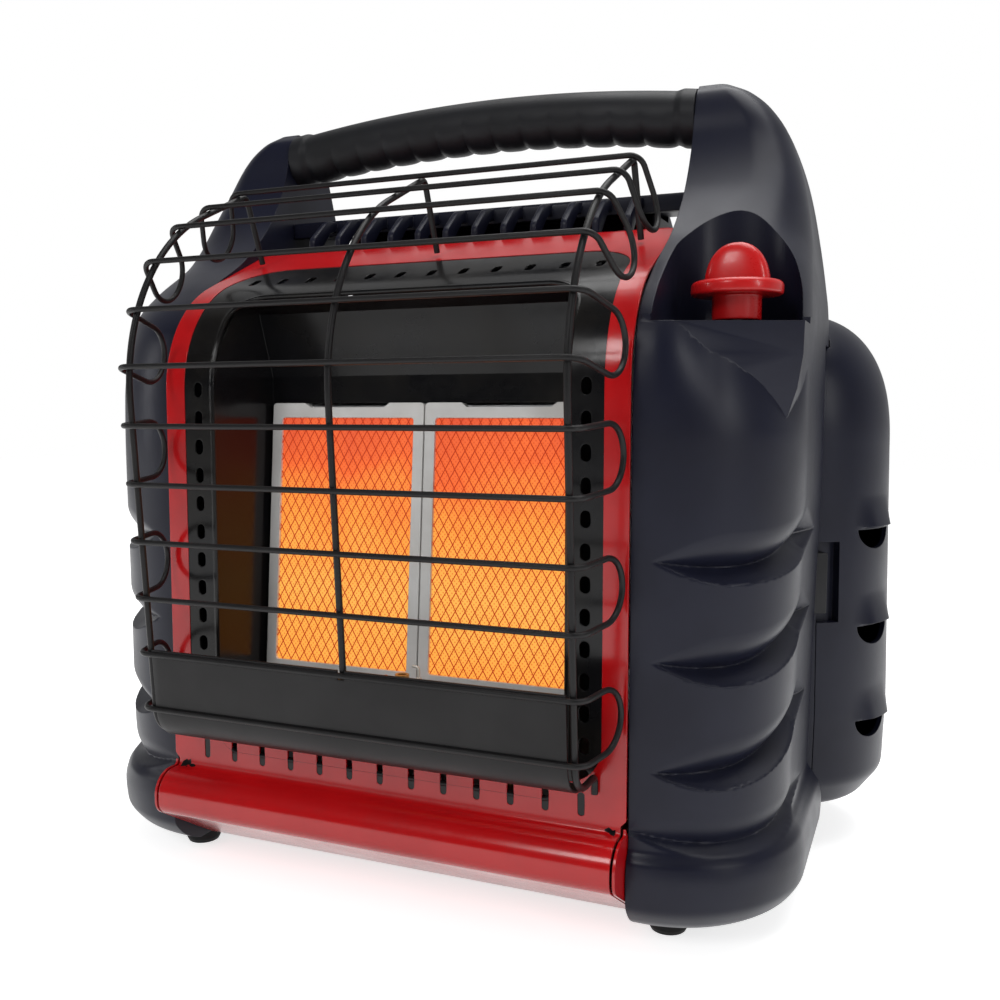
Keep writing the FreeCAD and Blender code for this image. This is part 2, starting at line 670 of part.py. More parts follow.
def dee(radius, chord):
    """Sketch outline of a round hole with a flat at v = chord."""
    half = math.sqrt(radius ** 2 - chord ** 2)
    left, right = Vector(-half, chord, 0), Vector(half, chord, 0)
    return [Part.Arc(left, Vector(0, -radius, 0), right), Part.LineSegment(right, left)]


def control_knob():
    """Knob with a skirt, a round flange and a raised finger fin."""
    body = make_body("control_knob")
    turned(body, [(0, 2.2), (10.7, 2.2, 0.8), (10.7, 13, 0.6), (20, 13, 1.2), (20, 19, 2.2), (0, 19)])
    fin = flat([(-14.4, 18), (14.4, 18), (14.4, 36.2, 14.2), (-14.4, 36.2, 14.2)])
    pad(body, "XZ_Plane", [fin], "13", midplane=True)
    pocket(body, "XY_Plane", [dee(3.06, 2.06)], "15", reverse=True)
    bind(body, {"Placement.Base.x": "Sizes.knob_x", "Placement.Base.y": "Sizes.knob_y",
                "Placement.Base.z": "Sizes.shelf_height"})


# Side housings

def plan(z, inner, outer, front, rear, front_bend, rear_bend):
    """Horizontal outline of a housing on the right-hand side."""
    front_bend = min(front_bend, outer - inner - 0.5)
    corners = [(inner, front, z, 0), (outer, front, z, front_bend), (outer, rear, z, rear_bend),
               (inner, rear, z, 0)]
    return Part.Wire([edge.toShape() for edge in corners_to_edges(corners)])


def loft(levels):
    return Part.makeLoft([plan(*level) for level in levels], True, True)


def body_levels(shrink):
    """Levels of the housing's front body, drawn in by shrink for its hollow."""
    inner = s.side_inner - (1 if shrink else 0)
    flare = s.skirt_flare
    front = -s.panel_front + 2
    rows = [
        (8, s.side_outer - 14, front + 17, 46),
        (16, s.side_outer - 3, front + 5, 58),
        (26, s.side_outer + flare, front - 3, s.corner_radius),
        (36, s.side_outer + flare, front - 4, s.corner_radius),
        (46, s.side_outer - 2, front, s.corner_radius),
        (56, s.side_outer - 4, front, s.corner_radius - 2),
        (140, s.side_outer - 2, front, s.corner_radius - 1),
        (230, s.side_outer, front, s.corner_radius),
        (256, s.side_outer, front + 2.2, s.corner_radius),
        (s.shelf_height, s.side_outer, front + 7, s.corner_radius),
    ]
    rear = s.side_rear - shrink
    return [(z, inner, outer - shrink, y + shrink, rear, max(bend - shrink, 1), 4) for z, outer, y, bend in rows]


def tower_levels(shrink):
    """Levels of the handle tower, drawn in by shrink for its hollow."""
    front = -s.panel_front + 2
    rows = [
        (s.shelf_height - 4, s.side_outer, front + 5, 84, 62, 40),
        (285, s.side_outer - 0.5, front + 17, 81, 56, 38),
        (298, s.side_outer - 2, front + 34, 77, 50, 34),
        (318, s.side_outer - 5, front + 66, 71, 40, 28),
        (344, s.side_outer - 10, front + 92, 63, 24, 22),
        (370, s.side_outer - 19, front + 106, 54, 18, 17),
        (384, s.side_outer - 28, front + 110, 48, 15, 14),
        (s.tower_top - 5, s.side_outer - 38, front + 114, 42, 12, 11),
        (s.tower_top, s.side_outer - 48, front + 120, 35, 7, 7),
    ]
    inner = s.side_inner + shrink
    levels = []
    for z, outer, y, rear, bend, rear_bend in rows:
        levels.append((z, inner, outer - shrink, y + shrink, rear - shrink,
                       max(bend - shrink, 1), max(rear_bend - shrink, 1)))
    if shrink:
        levels[-1] = (s.tower_top - shrink,) + levels[-1][1:]
    return levels


def bay_solid(shrink):
    """Round cylinder bay with its dome, drawn in by shrink."""
    radius, low, high = s.bay_radius, s.bay_bottom, s.bay_top
    path = [(0, low, 0), (radius - 12, low, 12), (radius + 0.6, low + 18, 12), (radius + 2, low + 56, 60),
            (radius - 3, high - 38, 24), (radius - 17, high - 13.5, 20), (radius - 35, high, 12),
            (0, high, 0)]
    path = beside(path, shrink) if shrink else path
    corners = [(s.bay_x + u, s.bay_y, v, bend) for u, v, bend in path]
    wire = Part.Wire([edge.toShape() for edge in corners_to_edges(corners)])
    return Part.Face(wire).revolve(Vector(s.bay_x, s.bay_y, 0), Vector(0, 0, 1), 360)


def parting(side_of_door, gap):
    """Large block on one side of the plane between the bay and its door."""
    start = Vector(180, s.side_rear + 1.2, 0)
    end = Vector(s.hinge_x, s.hinge_y, 0)
    way = (end - start).normalize()
    out = Vector(-way.y, way.x, 0)
    out = out if out.x > 0 else out * -1
    base = start - way * 200 + out * gap
    sign = 1 if side_of_door else -1
    far = out * 300 * sign
    corners = [base, base + way * 600, base + way * 600 + far, base + far, base]
    face = Part.Face(Part.makePolygon([Vector(p.x, p.y, -10) for p in corners]))
    return face.extrude(Vector(0, 0, 500))


def scoop(height, grow):
    """Ring with a sharp inner edge that cuts a lens-shaped scoop along the rounded corner."""
    corner = s.corner_radius
    way = Vector(0.93, -0.37, 0).normalize()
    deepest = Vector(s.side_outer - corner, -s.panel_front + 2 + corner, height)
    deepest = deepest + way * (corner - s.scoop_depth)
    middle = deepest - way * s.scoop_radius
    rim = s.scoop_radius - grow
    outline = [(rim, 0, -grow * 0.4), (rim + 14 + grow, 0, -12 - grow), (rim + 14 + grow, 0, 28 + grow),
               (rim, 0, grow * 0.4)]
    if not grow:
        outline = outline[:3]
    ring = Part.Face(Part.makePolygon([Vector(*p) for p in outline + outline[:1]]))
    ring = ring.revolve(Vector(0, 0, 0), Vector(0, 0, 1), 360)
    ring.Placement = FreeCAD.Placement(middle, Rotation(way, 7))
    return ring


HOUSING_KNUCKLES = [(40, 58), (232, 250)]
DOOR_KNUCKLES = [(58.4, 76), (213.6, 231.6)]
KNUCKLE_RADIUS = 4.4


def knuckles(levels, side_of_door):
    """Hinge barrels with an arm each along the parting plane."""
    start = Vector(180, s.side_rear + 1.2, 0)
    hinge = Vector(s.hinge_x, s.hinge_y, 0)
    way = (hinge - start).normalize()
    out = Vector(way.y, -way.x, 0) * (1 if side_of_door else -1)
    shapes = []
    for z0, z1 in levels:
        near, far = hinge + out * s.moving_gap, hinge + out * 3.2
        foot = way * -22
        corners = [near, near + foot, far + foot, far]
        face = Part.Face(Part.makePolygon([Vector(p.x, p.y, z0) for p in corners + corners[:1]]))
        shapes.append(face.extrude(Vector(0, 0, z1 - z0)))
        shapes.append(rod((hinge.x, hinge.y, z0), (0, 0, 1), KNUCKLE_RADIUS, z1 - z0))
    return shapes


def grip_ring(radius, reach):
    """Round bar along the handle's arc, cut off at reach on both sides."""
    arc = (s.grip_half ** 2 + s.grip_rise ** 2) / (2 * s.grip_rise)
    low = Vector(0, s.grip_y, s.grip_end_height + s.grip_rise - arc)
    start = Vector(0, s.grip_y, low.z + arc)
    disc = Part.Face(Part.Wire([Part.Circle(start, Vector(1, 0, 0), radius).toShape()]))
    angle = math.degrees(math.asin(reach / arc)) + 2
    disc.rotate(low, Vector(0, 1, 0), -angle)
    bar = disc.revolve(low, Vector(0, 1, 0), 2 * angle)
    return bar.common(box_between((-reach, s.grip_y - 60, 200), (reach, s.grip_y + 60, 600)))


def knob_room(grow):
    """Space round the knob, open to the front."""
    x, y, low = s.knob_x, s.knob_y, s.shelf_height - grow
    radius = s.recess_radius + grow
    return rod((x, y, low), (0, 0, 1), radius, 120).fuse(
        box_between((x - radius, -160, low), (x + radius, y, low + 120)))


def latch_z():
    return 125.0, 167.0


def housing(side, name):
    """Moulded side housing: front body, handle tower and the inner half of the cylinder bay."""
    body, tower, bay = loft(body_levels(0)), loft(tower_levels(0)), bay_solid(0)
    shape = body.fuse([tower, bay.common(parting(False, 0))])
    hollow = loft(body_levels(s.housing_wall))
    hollow = hollow.cut(box_between((100, -200, -10), (250, 100, 8 + s.housing_wall)))
    hollow = hollow.cut(box_between((100, -200, s.shelf_height - s.housing_wall), (250, 100, 400)))
    hollow = hollow.cut(bay)
    for index in range(3):
        height = s.scoop_lowest + index * s.scoop_pitch
        shape = shape.cut(scoop(height, 0))
        hollow = hollow.cut(scoop(height, s.housing_wall))
    tower_hollow = loft(tower_levels(s.housing_wall)).cut(bay)
    if side > 0:
        tower_hollow = tower_hollow.cut(knob_room(s.housing_wall))
        shape = shape.cut(knob_room(0))
        shape = shape.cut(rod((s.knob_x, s.knob_y, s.shelf_height - 20), (0, 0, 1), 9.4, 40))
    shape = shape.cut(hollow).cut(tower_hollow)
    shape = shape.fuse(knuckles(HOUSING_KNUCKLES, False))
    shape = shape.cut(bay_solid(s.bay_wall))
    shape = shape.cut(rod((s.side_inner - 5, s.grip_y, s.grip_end_height + 0.3), (1, 0, 0),
                          s.core_radius + 0.6, 20))
    shape = shape.cut(rod((s.swivel_x, s.side_rear - 10, s.reg_face + s.pipe_rise), (0, 1, 0),
                          s.swivel_pin_radius + 0.2, 30))
    shape = shape.cut(rod((s.hinge_x, s.hinge_y, 30), (0, 0, 1), s.hinge_pin_radius + 0.02, 240))
    shape = sorted(shape.Solids, key=lambda item: item.Volume)[-1]
    keep("housing_" + name, shape if side > 0 else mirrored(shape))


def vent_wedge(height):
    """Hood that stands out above one of the door's vents."""
    r = s.bay_radius
    outline = [(r - 2, 25), (r, 23), (r + 3.4, 8), (r + 3.0, 6), (r - 2, 6)]
    wire = Part.makePolygon([Vector(u, 0, height + v) for u, v in outline + outline[:1]])
    wedge = Part.Face(wire).revolve(Vector(0, 0, 0), Vector(0, 0, 1), 40)
    wedge.Placement = FreeCAD.Placement(Vector(s.bay_x, s.bay_y, 0), Rotation(Vector(0, 0, 1), s.vent_turn - 20))
    return wedge


VENT_HEIGHTS = (167.0, 116.0, 65.5)


def cylinder_door(side, name):
    """Hinged outer half of a cylinder bay with three hooded vents."""
    inner = bay_solid(s.bay_wall)
    hoods = [vent_wedge(height) for height in VENT_HEIGHTS]
    low, high = latch_z()
    room = rod((s.bay_x, s.bay_y, low - 10), (0, 0, 1), s.cylinder_room, high - low + 20)
    keeper = box_between((160, 30, low - 4), (196, 54, high + 4)).common(bay_solid(0.5)).cut(room)
    shape = bay_solid(0).cut(inner).fuse(hoods).fuse(keeper)
    shape = shape.common(parting(True, s.moving_gap))
    shape = shape.fuse([item.cut(inner) for item in knuckles(DOOR_KNUCKLES, True)])
    for height in VENT_HEIGHTS:
        turn = math.radians(s.vent_turn)
        way = (math.cos(turn), math.sin(turn), 0)
        hole = rod((s.bay_x + 30 * way[0], s.bay_y + 30 * way[1], height + 5.5), way, s.vent_half, 50)
        hole = hole.common(box_between((s.bay_x, s.bay_y - 80, height - 5), (300, s.bay_y + 40, height + 5.5)))
        shape = shape.cut(hole)
    floor = rod((s.bay_x, s.bay_y, low - 10), (0, 0, 1), s.cylinder_room + s.keeper_wall, high - low + 20)
    shape = shape.cut(box_between((150, 20, low), (190.5, 60, high)).cut(floor))
    grown = loft([(z - 0.6, inner_x, outer + 0.6, front, rear + 0.6, bend, rear_bend + 0.6)
                  for z, inner_x, outer, front, rear, bend, rear_bend in tower_levels(0)])
    shape = shape.cut(grown).cut(loft(body_levels(-0.5)))
    for z0, z1 in HOUSING_KNUCKLES:
        shape = shape.cut(rod((s.hinge_x, s.hinge_y, z0 - 0.4), (0, 0, 1), KNUCKLE_RADIUS + 0.5, z1 - z0 + 0.8))
    bore = s.hinge_pin_radius + s.hinge_play
    shape = shape.cut(rod((s.hinge_x, s.hinge_y, 30), (0, 0, 1), bore, 240))
    shape = sorted(shape.Solids, key=lambda item: item.Volume)[-1]
    keep("cylinder_door_" + name, shape if side > 0 else mirrored(shape))


def door_hinge_pins(side, name):
    """Two pins, each through one barrel of the housing and one of the door."""
    pins = [rod((s.hinge_x, s.hinge_y, z), (0, 0, 1), s.hinge_pin_radius, 37) for z in (39.5, 213.2)]
    shape = Part.makeCompound(pins)
    keep("door_hinge_pins_" + name, shape if side > 0 else mirrored(shape))


def door_latch(side, name):
    """Sliding button in the notch at the door's front edge."""
    low, high = latch_z()
    shape = box_between((178.6, 36.8, low + 4.4), (185.2, 48, high - 5.4))
    shape = shape.makeFillet(1.2, [edge for edge in shape.Edges if abs(edge.BoundBox.YMax - 36.8) < 0.01])
    floor = s.cylinder_room + s.keeper_wall + 0.3
    shape = shape.cut(rod((s.bay_x, s.bay_y, low), (0, 0, 1), floor, high - low))
    keep("door_latch_" + name, shape if side > 0 else mirrored(shape))


# Gas supply

def regulator(side, name):
    """Regulator with a threaded socket underneath, swinging on its elbow."""
    x, y, low = s.bay_x, s.bay_y, s.reg_face
    shape = rod((x, y, low), (0, 0, 1), 17, 16)
    shape = shape.fuse([rod((x, y, low + 16), (0, 0, 1), 24, 14),
                        Part.makeCone(24, 19, 8, Vector(x, y, low + 30))])
    arm = box_between((-6, 0, low + 16), (6, 24, low + 26))
    arm.Placement = FreeCAD.Placement(Vector(s.swivel_x, s.swivel_y, 0), Rotation(Vector(0, 0, 1), -14.8))
    eye = rod((s.swivel_x, s.swivel_y, low + 15), (0, 0, 1), 8.6, 12)
    shape = shape.fuse([arm, eye])
    shape = shape.cut(rod((x, y, low - 1), (0, 0, 1), s.thread_radius, 13))
    shape = shape.cut(rod((x, y, low - 1), (0, 0, 1), 3, 24))
    shape = shape.cut(rod((s.swivel_x, s.swivel_y, low), (0, 0, 1), s.swivel_pin_radius + 0.05, 60))
    keep("regulator_" + name, shape.removeSplitter() if side > 0 else mirrored(shape.removeSplitter()))


def swivel_elbow(side, name):
    """Elbow through the bay wall that carries a regulator."""
    x, y, low = s.swivel_x, s.swivel_y, s.reg_face
    radius = s.swivel_pin_radius
    shape = rod((x, y, low + 12), (0, 0, 1), radius, 16)
    block = box_between((x - 6.4, y - 6.4, low + 27.4), (x + 6.4, y + 6.4, low + s.pipe_rise + 6))
    shape = shape.fuse([rod((x, y, low + 11), (0, 0, 1), 7.2, 3.6), block,
                        rod((x, 18, low + s.pipe_rise), (0, 1, 0), radius, y - 18)])
    keep("swivel_elbow_" + name, shape if side > 0 else mirrored(shape))


def gas_lines():
    """Copper pipes from both elbows to the valve, and from the valve to the manifold."""
    height = s.reg_face + s.pipe_rise
    top = s.shelf_height - s.housing_wall - 0.4
    radius = s.gas_pipe_radius
    inlet = Vector(s.knob_x, s.knob_y + 24.05, top - 22)
    right = tube([(s.swivel_x, 17.95, height, 0), (s.swivel_x, 2, height, 8),
                  (inlet.x, inlet.y + 12, inlet.z, 6), (inlet.x, inlet.y, inlet.z, 0)], radius)
    tee = box_between((s.swivel_x - 7, 5, height - 6), (s.swivel_x + 7, 16, height + 6))
    keep("gas_line_right", right.fuse(tee).removeSplitter())
    left = tube([(-s.swivel_x, 17.95, height, 0), (-s.swivel_x, 10.5, height, 7),
                 (s.swivel_x - 7.05, 10.5, height, 0)], radius)
    keep("gas_line_left", left)
    outlet = Vector(s.knob_x - 24.05, s.knob_y + 5, top - 34)
    tube_y = s.frame_deep + s.burner_deep / 2 + 3
    lean_turn = Rotation(Vector(1, 0, 0), -s.tile_tilt)
    end = lean_turn.multVec(Vector(s.frame_wide / 2 + 14.05, tube_y, -s.mixer_long - 15))
    end = end + Vector(0, -s.tile_seam_depth, s.tile_seam_height)
    supply = tube([(outlet.x, outlet.y, outlet.z, 0), (112, outlet.y, outlet.z, 8),
                   (112, end.y, end.z, 8), (end.x, end.y, end.z, 0)], radius)
    keep("supply_pipe", supply)


# Pilot, in the firebox below the seam of the burners

def floor_wedge(lift):
    """Everything under the firebox floor, lifted by lift."""
    points = [(-s.tile_seam_depth + 3, s.tile_seam_height - 0.3 + lift),
              (-s.panel_front + s.panel_gauge + s.surround_gauge + 0.1, s.mouth_bottom - 3 + lift),
              (-s.panel_front + 2, 40), (-s.tile_seam_depth + 3, 40)]
    wire = Part.makePolygon([Vector(-60, y, z) for y, z in points + points[:1]])
    return Part.Face(wire).extrude(Vector(120, 0, 0))


def pilot_parts():
    top = s.tile_seam_height + 1
    y = -s.panel_front + 23
    bridge = box_between((-17, y - 6, 60), (17, y + 6, top)).cut(
        box_between((-15.5, y - 7, 50), (15.5, y + 7, top - 1.2)))
    bridge = bridge.cut(floor_wedge(s.surround_gauge + 0.02))
    for x, radius in ((0, 3.4), (9, 1.5), (-9, 1.8)):
        bridge = bridge.cut(rod((x, y, 60), (0, 0, 1), radius + 0.01, 80))
    keep("pilot_bracket", bridge)
    burner = rod((0, y, top - 6), (0, 0, 1), 3.4, 14).fuse(rod((0, y, top + 0.05), (0, 0, 1), 4.6, 3))
    burner = burner.cut(rod((0, y, top + 3), (0, 0, 1), 2.2, 9))
    for turn in range(4):
        hole = rod((0, y, top + 6), (math.cos(turn * 0.785), math.sin(turn * 0.785), 0), 0.7, 12)
        burner = burner.cut(hole)
    keep("pilot_burner", burner)
    probe = rod((-9, y, top - 5), (0, 0, 1), 1.8, 10).fuse(rod((-9, y, top + 0.05), (0, 0, 1), 2.8, 2.4))
    tip = Part.makeSphere(1.8, Vector(-9, y, top + 5))
    keep("thermocouple", probe.fuse(tip))
    spark = rod((9, y, top - 5), (0, 0, 1), 1.5, 12).fuse(rod((9, y, top + 0.05), (0, 0, 1), 2.6, 4))
    wire = tube([(9, y, top + 6, 0), (9, y, top + 12, 1.5), (5.6, y, top + 12.6, 0)], 0.7)
    keep("spark_electrode", spark.fuse(wire))


# Handle, top grille and rear

def handle_grip():
    """Rubber grip with finger bumps underneath."""
    face = s.side_inner - 0.02
    arc = (s.grip_half ** 2 + s.grip_rise ** 2) / (2 * s.grip_rise)
    middle = s.grip_end_height + s.grip_rise - arc
    count = int((2 * s.grip_half - 30) / s.bump_pitch)
    bumps = []
    for index in range(count):
        x = (index - (count - 1) / 2) * s.bump_pitch
        z = middle + math.sqrt(arc ** 2 - x ** 2) - s.grip_radius + 4.6
        bumps.append(Part.makeSphere(8.6, Vector(x, s.grip_y, z)))
    shape = grip_ring(s.grip_radius, face).fuse(bumps)
    keep("handle_grip", shape.cut(grip_ring(s.core_radius + 0.02, face + 5)))


def handle_core():
    """Bent rod through the grip with a nut inside each tower."""
    shape = grip_ring(s.core_radius, s.grip_half + 7)
    wall = s.side_inner + s.housing_wall + 0.02
    arc = (s.grip_half ** 2 + s.grip_rise ** 2) / (2 * s.grip_rise)
    z = s.grip_end_height + s.grip_rise - arc + math.sqrt(arc ** 2 - wall ** 2)
    nuts = []
    for side in (-1, 1):
        corners = [Vector(side * wall, s.grip_y + 9 * math.cos(turn * math.pi / 3),
                          z + 9 * math.sin(turn * math.pi / 3)) for turn in range(6)]
        nuts.append(Part.Face(Part.makePolygon(corners + corners[:1])).extrude(Vector(side * 5, 0, 0)))
    keep("handle_core", shape.fuse(nuts))


def top_grille():
    """Deck between the towers with a rail and curved fins in front of it."""
    half = s.side_inner - s.fit_gap
    high, front, rear = s.deck_height, s.deck_front, s.deck_rear
    deck = box_between((-half, front, high - 3), (half, rear, high))
    rail = box_between((-half, front - 2.5, high - 9), (half, front + 2, high))
    fins = []
    base = s.shoulder_height + (s.panel_front - s.panel_rear) * math.tan(math.radians(s.panel_slope)) - 2
    edge_y = -s.panel_rear + 2
    outline = [(edge_y, base - 8, 0), (edge_y, base + 18, 10), (front - 10, high - 1.4, 26),
               (front + 1, high - 1.2, 0), (front + 1, high - 8, 0), (front - 12, high - 9, 20),
               (edge_y + 7, base + 10, 6), (edge_y + 7, base - 8, 0)]
    count = int(s.fin_count)
    for index in range(count):
        x = (index - (count - 1) / 2) * s.fin_pitch
        wire = Part.Wire([edge.toShape() for edge in
                          corners_to_edges([(x - s.fin_thick / 2, y, z, bend) for y, z, bend in outline])])
        fins.append(Part.Face(wire).extrude(Vector(s.fin_thick, 0, 0)))
    foot = box_between((-half, edge_y + 0.2, base - 8), (half, edge_y + 9, base - 4))
    keep("top_grille", deck.fuse([rail, foot] + fins).removeSplitter())


def rear_path():
    deck, rear, depth = s.deck_height, s.deck_rear + 0.3, s.rear_depth
    return [(rear, deck, 0), (118, deck - 33, 20), (depth, deck - 60, 10), (depth, 14, 10), (132, s.foot_high + 2, 0)]


BATTERY_WINDOW = (64.4, 30.1, 90.4)


def rear_cover():
    """Shell behind the burners with slots for the fan and a window for the battery cover."""
    half = s.rear_width / 2
    wall = s.cover_wall
    path = rear_path()
    profile = path + [(36, s.foot_high + 2, 0), (36, s.deck_height - 6, 0), (s.deck_rear + 0.3, s.deck_height - 6, 0)]
    solid = Part.Face(Part.Wire([edge.toShape() for edge in corners_to_edges(
        [(-half, y, z, bend) for y, z, bend in profile])])).extrude(Vector(2 * half, 0, 0))
    inner = beside(path, -wall)
    inner_profile = [(20, inner[0][1] - 4, 0), (inner[0][0], inner[0][1] - 4, 0)] + inner[1:3] + [
        (inner[3][0], 12 + wall, 4), (131, 12 + wall, 0), (131, 0, 0), (20, 0, 0)]
    hollow = Part.Face(Part.Wire([edge.toShape() for edge in corners_to_edges(
        [(-half + wall, y, z, bend) for y, z, bend in inner_profile])])).extrude(
            Vector(2 * (half - wall), 0, 0))
    shape = solid.cut(hollow)
    for level in range(11):
        z = s.fan_height - 35 + level * 7
        reach = math.sqrt(max(s.fan_radius ** 2 - (z - s.fan_height) ** 2, 60))
        shape = shape.cut(box_between((-reach, 130, z - 1.8), (-2, 160, z + 1.8)))
        shape = shape.cut(box_between((2, 130, z - 1.8), (reach, 160, z + 1.8)))
    for level in range(6):
        for column in range(-2, 3):
            z, x = 120 + level * 9, column * 30
            shape = shape.cut(box_between((x - 11, 130, z - 1.8), (x + 11, 160, z + 1.8)))
    wide, low, high = BATTERY_WINDOW
    shape = shape.cut(box_between((-wide, 130, low), (wide, 160, high)))
    ears = [box_between((x, s.rear_depth - 8, low - 2), (x + 4, s.rear_depth - 1.5, low + 8))
            for x in (-wide - 4, wide)]
    shape = shape.fuse(ears)
    shape = shape.cut(rod((-wide - 2.4, s.rear_depth - 2.5, low + 2.9), (1, 0, 0), 1.35, 2 * wide + 4.8))
    shape = shape.cut(box_between((68, 130, 240), (84, 160, 262)))
    shape = shape.cut(rod((-76, 130, 251), (0, 1, 0), 5.6, 40))
    for x in (-86, 86):
        for z in (24, 268):
            shape = shape.cut(rod((x, 120, z), (0, 1, 0), 1.95, 40))
    keep("rear_cover", shape)


def heat_shield():
    body = make_body("heat_shield")
    pad(body, "XZ_Plane", [rectangle(-112, s.foot_high + 2, 112, 298, 6)], "1", "5", reverse=True)


def base_pan():
    """Floor of the heater, narrower between the cylinder bays."""
    low, high = s.foot_high, s.foot_high + 2
    front = box_between((-117.5, -s.lip_return + 16.05, low), (117.5, 33, high))
    rear = box_between((-92, 30, low), (92, s.rear_depth - 16, high))
    shape = front.fuse(rear).removeSplitter()
    for x in (-40, -20, 0, 20, 40):
        shape = shape.cut(box_between((x - 7, -30, low - 1), (x + 7, -26, high + 1)))
    keep("base_pan", shape)


def rubber_feet():
    feet = []
    for x in (-1, 1):
        for px, py in ((s.foot_x, s.foot_front_y), (84, 112)):
            pad_shape = Part.makeCone(s.foot_radius - 1, s.foot_radius, 2, Vector(x * px, py, 0))
            feet.append(pad_shape.fuse(rod((x * px, py, 2), (0, 0, 1), s.foot_radius, s.foot_high - 2)))
    keep("rubber_feet", Part.makeCompound([foot.removeSplitter() for foot in feet]))


# Battery box, fan and small pieces

def battery_box():
    half, low, high = s.battery_wide / 2, s.battery_low, s.battery_low + s.battery_high
    front = s.rear_depth - s.cover_wall - s.battery_deep - 6
    outer = box_between((-half, front, low), (half, front + s.battery_deep, high))
    inner = box_between((-half + 2, front + 2, low + 2), (half - 2, 200, high - 2))
    shape = outer.cut(inner)
    posts = [box_between((x - 4, front + 10, s.foot_high + 2), (x + 4, front + 50, low + 0.5)) for x in (-50, 50)]
    keep("battery_box", shape.fuse(posts).removeSplitter())


def battery_door():
    wide, low, high = BATTERY_WINDOW
    y, z = s.rear_depth - 2.5, low + 2.9
    plate = box_between((-wide + 0.4, y, z), (wide - 0.4, s.rear_depth, high - 0.4))
    barrel = rod((-wide + 0.4, y, z), (1, 0, 0), 2.5, 2 * wide - 0.8)
    pins = rod((-wide - 2, y, z), (1, 0, 0), 1.25, 2 * wide + 4)
    notch = box_between((-12, y + 1.2, high - 12), (12, 160, high - 6))
    keep("battery_door", plate.fuse([barrel, pins]).cut(notch).removeSplitter())


def fan_frame():
    half = s.fan_frame_size / 2
    rear = s.rear_depth - s.cover_wall - 0.02
    front = rear - s.fan_frame_deep
    shape = box_between((-half, front, s.fan_height - half), (half, rear, s.fan_height + half))
    shape = shape.cut(rod((0, front - 1, s.fan_height), (0, 1, 0), s.fan_radius + 1.2, s.fan_frame_deep + 2))
    struts = [rod((0, front, s.fan_height), (0, 1, 0), 16, 2.5)]
    for turn in range(3):
        bar = box_between((-3, 0, 0), (3, 2.5, s.fan_radius + 3))
        bar.Placement = FreeCAD.Placement(Vector(0, front, s.fan_height), Rotation(Vector(0, 1, 0), 120 * turn))
        struts.append(bar)
    keep("fan_frame", shape.fuse(struts).removeSplitter())


def fan_motor():
    front = s.rear_depth - s.cover_wall - 0.02 - s.fan_frame_deep + 2.52
    shape = rod((0, front, s.fan_height), (0, 1, 0), 11.6, 12).fuse(
        rod((0, front + 12, s.fan_height), (0, 1, 0), 1.5, 4.5))
    keep("fan_motor", shape)


def fan_blade():
    """Hub cup round the motor with seven pitched blades."""
    front = s.rear_depth - s.cover_wall - s.fan_frame_deep + 4.5
    shape = rod((0, front, s.fan_height), (0, 1, 0), 15, 15.4)
    shape = shape.cut(rod((0, front - 1, s.fan_height), (0, 1, 0), 12.6, 12.6))
    blades = []
    for turn in range(7):
        bar = box_between((-9, -0.8, 13), (9, 0.8, s.fan_radius))
        bar.Placement = FreeCAD.Placement(Vector(0, 0, 0), Rotation(Vector(0, 0, 1), 34))
        holder = bar.copy()
        holder.Placement = FreeCAD.Placement(Vector(0, front + 7.5, s.fan_height),
                                             Rotation(Vector(0, 1, 0), turn * 360 / 7)).multiply(bar.Placement)
        blades.append(holder)
    shape = shape.fuse(blades)
    shape = shape.common(rod((0, front, s.fan_height), (0, 1, 0), s.fan_radius, 15.4))
    shape = shape.cut(rod((0, front - 1, s.fan_height), (0, 1, 0), 12.6, 12.6))
    shape = shape.cut(rod((0, front, s.fan_height), (0, 1, 0), 1.55, 14.6))
    keep("fan_blade", shape)


def fan_switch():
    rear = s.rear_depth
    body = box_between((68.2, rear - 18, 240.2), (83.8, rear, 261.8))
    well = box_between((69.6, rear - 10, 241.6), (82.4, rear + 1, 260.4))
    keep("fan_switch", body.cut(well))
    rocker = rod((69.9, rear - 4, 251), (1, 0, 0), 9.1, 12.2)
    rocker = rocker.common(box_between((69, rear - 8, 241.9), (83, rear - 0.9, 260.1)))
    rocker = rocker.cut(rod((69, rear + 15.2, 251), (1, 0, 0), 17, 16))
    keep("fan_rocker", rocker)
    jack = rod((-76, rear - 14, 251), (0, 1, 0), 5.4, 14).cut(rod((-76, rear - 11, 251), (0, 1, 0), 3.2, 12))
    pin = rod((-76, rear - 12, 251), (0, 1, 0), 0.9, 9)
    keep("dc_inlet", jack.fuse(pin))


def screws():
    heads = []
    for x in (-86, 86):
        for z in (24, 268):
            place = s.rear_depth
            head = rod((x, place, z), (0, 1, 0), 3.4, 1.2).fuse(rod((x, place - 8, z), (0, 1, 0), 1.9, 8))
            head = head.cut(box_between((x - 2.4, place + 0.6, z - 0.4), (x + 2.4, place + 2, z + 0.4)))
            heads.append(head)
    keep("rear_cover_screws", Part.makeCompound(heads))


def tip_over_switch():
    low = s.foot_high + 2
    shape = box_between((-72, 6, low), (-50, 24, low + 15))
    shape = shape.fuse(rod((-61, 15, low + 15), (0, 0, 1), 6, 4))
    keep("tip_over_switch", shape)


SIDES = ((1, "right"), (-1, "left"))


